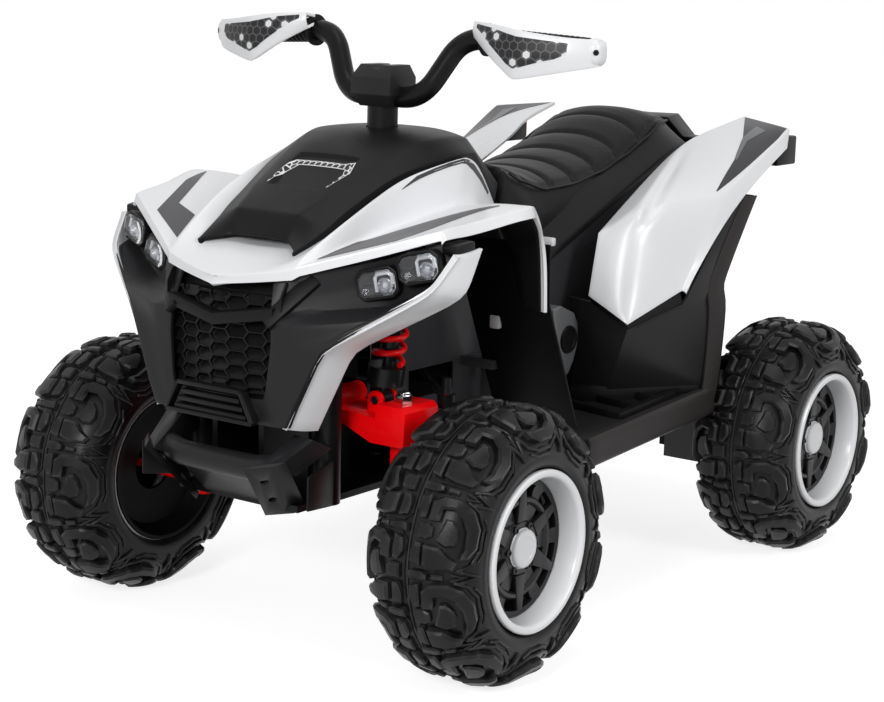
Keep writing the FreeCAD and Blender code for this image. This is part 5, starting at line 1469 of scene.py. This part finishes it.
def prints():
    pairs = [(Vector(a), Vector(b)) for a, b in zip(*LACE_EDGE)]
    lace_edge = [[a.lerp(b, share) for a, b in pairs] for share in (LACE_BORDER, 1 - LACE_BORDER)]
    place(print_on("left_wedge_print", "hood_shell", LEFT_WEDGE, over_hood), CHARCOAL)
    place(print_on("right_wedge_print", "hood_shell", RIGHT_WEDGE, over_hood), CHARCOAL)
    place(print_on("lace_border", "hood_cover_shell", LACE_EDGE, over_hood, "z", 0.6), PALE_PRINT)
    place(print_on("lace_print", "hood_cover_shell", lace_edge, over_hood, "z", 1.1, LACE_CELL), LACE)
    for name, shell, edges, spot_of, look, axis, lift in (
        ("shoulder_print", "hood_shell", SHOULDER, beside_hood, CHARCOAL, "x", 0.5),
        ("tip_patch", "left_rear_fender_shell", TIP_PATCH, over_tail, CHARCOAL, "z", 0.5),
        ("tip_stripe", "left_rear_fender_shell", TIP_STRIPE, over_tail, GREY, "z", 1.0),
    ):
        place_pair(print_on(name, shell, edges, spot_of, axis, lift), name, look)


FLARE_EDGE = (
    (258, -168, 60), (258.5, -153, 96), (260, -146, 200), (258.5, -156, 228), (258.5, -119, 281), (258.5, -72, 342),
)
FLARE_BACK = (
    (252, -196, 60), (252, -182, 96), (252.5, -180, 196), (252.5, -190, 222), (252, -150, 284), (254, -100, 343),
)
SEAM_TOP = ((160, -331, 226), (213, -324, 195), (238, -237, 226))
SEAM_LOW = ((157, -332, 211), (212, -325, 179), (245, -238, 206))
PANEL_FOOT = ((126, -321), (170, -301), (247, -182), (254, -166))
SIDE_TRIM = (
    (376, 113), (358, 140), (354, 172), (346, 206), (366, 209), (398, 196), (410, 178), (408, 150), (400, 130),
    (388, 114),
)
FOOT_YS = (252, 330, 410, 490, 566)
FOOT_EDGE = ((243, 4.5), (254, 5.5), (258, 1), (258, -30), (252, -35))
BOARD_RIBS = (((140, 386), (226, 372), 14), ((150, 432), (226, 418), 14), ((160, 478), (226, 464), 14),
              ((226, 366), (226, 520), 12))
RIB_DEPTH = 18
BADGE_LINE = ((0, 0), (0, 19), (3, 18), (3, 14), (1.6, 13), (1.6, 0))


def foot_top(y):
    """The footboard's height at a place along it, from the front axle."""
    return 65 + (y - 256) * 0.061


def on_board(x, y, rise=0):
    return front(x, y, foot_top(y) + rise)


def side_details():
    """The strips round the rear arch and along the footboard, the board's ribs, the seam and the skirt under
    the fender, and the trim, badge and tabs beside the tub."""
    middle = [Vector(a).lerp(Vector(b), 0.5) + Vector((1.5, 0, 0)) for a, b in zip(FLARE_EDGE, FLARE_BACK)]
    flare_rows = [[rear(*p) for p in line] for line in (FLARE_BACK, middle, FLARE_EDGE)]
    strip_rows = [[on_board(x, y, rise) for y in FOOT_YS] for x, rise in FOOT_EDGE]
    seam_rows = [[rear(*p) for p in line] for line in (SEAM_TOP, SEAM_LOW)]
    skirt_rows = [[rear(x, y, z) for x, y in PANEL_FOOT] for z in (97, 68)]
    flare = moulded("flare", flare_rows, (1, 0, 0), 4, (), {2: 0.3, 3: 0.4}, 2)
    strip = moulded("strip", strip_rows, (1, 0, 0), 3, {1: 0.6, 2: 0.5, 3: 0.7}, (), 2)
    seam = moulded("seam", seam_rows, (1, -1, 0), 3, (), {1: 1.0}, 1)
    skirt = moulded("skirt", skirt_rows, (1, -1, 0), 3, (), {1: 1.0, 2: 1.0}, 1)
    ribs = [beam("rib", on_board(*a), on_board(*b), width, RIB_DEPTH, 2.2) for a, b, width in BOARD_RIBS]
    board = joined("board_ribs", ribs)
    trim = closed_outwards(moved(plate("trim", SIDE_TRIM, 24), Matrix.Translation(front(111, 0, 0)) @ ON_SIDE))
    rounded(trim, 3, 30, 3)
    badge = moved(turned("badge", BADGE_LINE, 32), front(134.6, 384, 162))
    tab = rounded(block("tab", front(147, 183, 205), front(161, 191, 222)), 2)
    post = rounded(block("post", front(98, 364, 285), front(118, 373, 296)), 2)
    tabs = joined("tabs", [tab, post])
    for piece, name, look in (
        (flare, "flare_strip", WARM), (strip, "foot_strip", WARM), (seam, "fender_seam", BLACK),
        (board, "board_ribs", BLACK), (skirt, "panel_skirt", BLACK), (trim, "side_trim", GREY),
        (badge, "side_badge", BLACK), (tabs, "side_tabs", CAP),
    ):
        place_pair(piece, name, look)


# Suspension and the remaining CAD shells

SPRING_TURNS = 4
TURN_STEPS = 28
SPRING_START = 41 + 3.8
SPRING_SPAN = 77 - 7.6
SPRING_RADIUS = 17.5
WIRE_RADIUS = 3.6
PLUG_LINE = ((0, 0), (0, 5.2), (1.6, 5.2), (2.2, 4.4), (1.4, 2.6), (1.4, 0))
BOOT_LINE = ((0, 0), (0, 7), (6, 6.4), (12, 5.6), (18.5, 5.2), (19, 0))
BOLT_HEAD = [(8.4 * math.cos(k * math.tau / 6), 8.4 * math.sin(k * math.tau / 6)) for k in range(6)]


def suspension():
    """Coil springs, arms and knuckles, with the plugs, bolt heads and boots on their pins."""
    for side, word in SIDE_NAMES.items():
        low = front(side * 121, 6, 141)
        top = front(side * 140, 6, 286)
        way = (top - low).normalized()
        seat_at = frame_along(low, way, (0, 1, 0))
        path = []
        for step in range(SPRING_TURNS * TURN_STEPS + 1):
            turn = step / TURN_STEPS * math.tau
            along = (SPRING_START + SPRING_SPAN * step / (SPRING_TURNS * TURN_STEPS)) * MM
            reach = SPRING_RADIUS * MM
            path.append(seat_at @ Vector((along, reach * math.cos(turn), reach * math.sin(turn))))
        spring = tube(word + "_spring_coil", path, WIRE_RADIUS, 12)
        place(spring, SPRING, word + "_spring", body=word + "_shock_tube")
        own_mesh(spring)
        dressed(word + "_arm", RED, 1.8)
        dressed(word + "_knuckle", RED, 1.2)
        plug = turned(word + "_pin_plug", PLUG_LINE, 24)
        moved(plug, frame_along(low + Vector((0, -14.9 * MM, 0)), (0, -1, 0)))
        place(plug, BLACK, body=word + "_arm")
        head = moved(plate(word + "_bolt_head", BOLT_HEAD, 4.5), front(side * 157, 0, 150.6))
        place(rounded(head, 0.8), CHROME, body=word + "_arm")
        boot = moved(turned(word + "_tie_boot", BOOT_LINE, 24), upright(front(side * 173, 62, 145.8)))
        place(boot, BLACK, body=word + "_knuckle")


POSTS = ((157, 32, 330, 10), (26, -103, 270, 10), (30, 90, 400, 26))
POST_REACH = 14
CAD_SHELLS = (
    ("front_bumper", FAIRING, 2.0), ("splash_guards", SPLASH, 1.2), ("footboards", FAIRING, 2.0),
    ("rear_cover", BLACK, 3.0), ("body_tub", TUB, 1.5), ("accelerator_pedal", GREY, 1.2),
    ("rear_side_panels", FAIRING, 1.6, 58),
)


def rigid_shells():
    for shell in CAD_SHELLS:
        dressed(*shell)


def frame_shell():
    """The main frame, with the stays under the hood and cover kept just below their skins."""
    piece = node_copy("main_frame", "main_frame_shell")
    for vertex in piece.data.vertices:
        spot = (vertex.co - front(0, 0, 0)) / MM
        for x, y, z, drop in POSTS:
            if abs(abs(spot.x) - x) < POST_REACH and abs(spot.y - y) < POST_REACH and spot.z > z:
                vertex.co.z -= drop * MM
    place(smooth(piece, 30), BAR, "main_frame")


def clamp():
    """The bar clamp, with a notch along its top between two humps."""
    piece = node_copy("handlebar_clamp", "handlebar_clamp_shell")
    low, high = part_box("handlebar_clamp")
    crest = high.z / MM
    notch = plate("notch", [(-5, crest - 5), (5, crest - 5), (10, crest + 4), (-10, crest + 4)], 200)
    moved(notch, Matrix(((1, 0, 0, 0), (0, 0, 1, low.y - 0.05), (0, 1, 0, 0), (0, 0, 0, 1))))
    cut_out(piece, closed_outwards(notch))
    place(rounded(piece, 4, 25, 3), FAIRING, "handlebar_clamp", body="steering")


TAIL_LAMP_WIDTH = 46
TAIL_LENS_INSET = 10


def tail_lamps():
    """Dark housings under the fender tips, each with a red lens on its rear face."""
    piece = node_copy("tail_lamps", "tail_lamp_housings")
    low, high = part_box("tail_lamps")
    lenses = []
    for start in (high.x - TAIL_LAMP_WIDTH * MM, low.x):
        inset = TAIL_LENS_INSET * MM
        lens = block("lens", Vector((start + inset, high.y - 2 * MM, low.z + 5 * MM)),
                     Vector((start + TAIL_LAMP_WIDTH * MM - inset, high.y + 0.8 * MM, high.z - 12 * MM)))
        lenses.append(rounded(lens, 2, 30, 3))
    place(rounded(piece, 2.5), BLACK, "tail_lamps")
    place(joined("tail_lamp_lenses", lenses), TAIL)


CAD_LOOKS = (
    (STEEL, ("rear_axle", "frame_pins")), (CHROME, ("left_kingpin", "right_kingpin")),
    (DAMPER, ("left_shock_tube", "right_shock_tube", "left_shock_rod", "right_shock_rod")),
    (BAR, ("steering_shaft", "left_tie_rod", "right_tie_rod")), (MOTOR, ("gear_motors",)), (BATTERY, ("battery",)),
    (SWITCH_RED, ("power_button",)), (SATIN, ("direction_rocker",)),
)


def cad_looks():
    for look, nodes in CAD_LOOKS:
        for node in nodes:
            mesh = frame["nodes"][node].data
            mesh.materials.clear()
            mesh.materials.append(look)


# Studio

CAMERA_SPOT = front(1568.4, -1874.5, 658.2)
CAMERA_TURN = math.radians(35.942)
CAMERA_DIP = math.radians(10.947)
CAMERA_ROLL = math.radians(1.598)
CAMERA_LENS = 84.16
SENSOR_WIDTH = 36
LAMP_AIM = (0, 0, 0.3)
WORLD_LIGHT = 0.42
PLAIN_RAYS = ("Camera", "Glossy", "Transmission")


def camera():
    level_reach = math.cos(CAMERA_DIP)
    ahead = Vector((-math.sin(CAMERA_TURN) * level_reach, math.cos(CAMERA_TURN) * level_reach, -math.sin(CAMERA_DIP)))
    level = ahead.cross((0, 0, 1)).normalized()
    upward = level.cross(ahead)
    across = math.cos(CAMERA_ROLL) * level + math.sin(CAMERA_ROLL) * upward
    up = -math.sin(CAMERA_ROLL) * level + math.cos(CAMERA_ROLL) * upward
    data = bpy.data.cameras.new("camera")
    data.lens = CAMERA_LENS
    data.sensor_width = SENSOR_WIDTH
    data.sensor_fit = "HORIZONTAL"
    item = linked("camera", data)
    item.matrix_world = Matrix.Translation(CAMERA_SPOT) @ Matrix((across, up, -ahead)).transposed().to_4x4()
    bpy.context.scene.camera = item


def softbox(name, spot, size, power):
    data = bpy.data.lights.new(name, "AREA")
    data.shape = "DISK"
    data.size = size
    data.energy = power
    item = linked(name, data)
    item.location = spot
    item.rotation_euler = (Vector(LAMP_AIM) - Vector(spot)).to_track_quat("-Z", "Y").to_euler()


def seen_plainly(s):
    """1 for what the camera sees, also in mirrors and through glass, and 0 for the light it gives."""
    seen, shiny, through = (s.node("LightPath", output=f"Is {ray} Ray") for ray in PLAIN_RAYS)
    return s.math("MINIMUM", seen + shiny + through, 1.0)


def floor_look(s, place):
    return {"Emission Color": s.between(seen_plainly(s), (0, 0, 0), (0.8, 0.8, 0.8))}


def studio():
    bpy.ops.mesh.primitive_plane_add(size=30, location=(0, 0, 0))
    floor = named("studio_floor")
    floor.data.materials.append(finish("pale_floor", None, floor_look, Base_Color=(0.5, 0.5, 0.5, 1), Roughness=0.9,
                                       Specular_IOR_Level=0.1, Emission_Strength=1.0))
    world = bpy.data.worlds.new("studio_light")
    bpy.context.scene.world = world
    world.use_nodes = True
    tree = world.node_tree
    tree.nodes.clear()
    start = Socket(tree)
    strength = WORLD_LIGHT + seen_plainly(start) * (1 - WORLD_LIGHT)
    light = start.node("Background", None, {"Color": (1, 1, 1, 1), "Strength": strength})
    output = tree.nodes.new("ShaderNodeOutputWorld")
    tree.links.new(light.output, output.inputs[0])
    softbox("top_softbox", (0.3, -0.4, 3.2), 1.3, 13)
    softbox("side_softbox", (3.0, -0.3, 1.8), 1.0, 29)
    softbox("front_softbox", (0.9, -3.2, 1.7), 1.0, 52)
    bpy.context.scene.view_settings.view_transform = "Standard"


for build in (
    wheels, hood, liner, cover, mask, trims, grille, nose_struts, lamps, guards, bar, grips, seat, tub_shoulder,
    rear_fenders, prints, side_details, suspension, rigid_shells, frame_shell, clamp, tail_lamps, cad_looks, studio,
    camera,
):
    build()
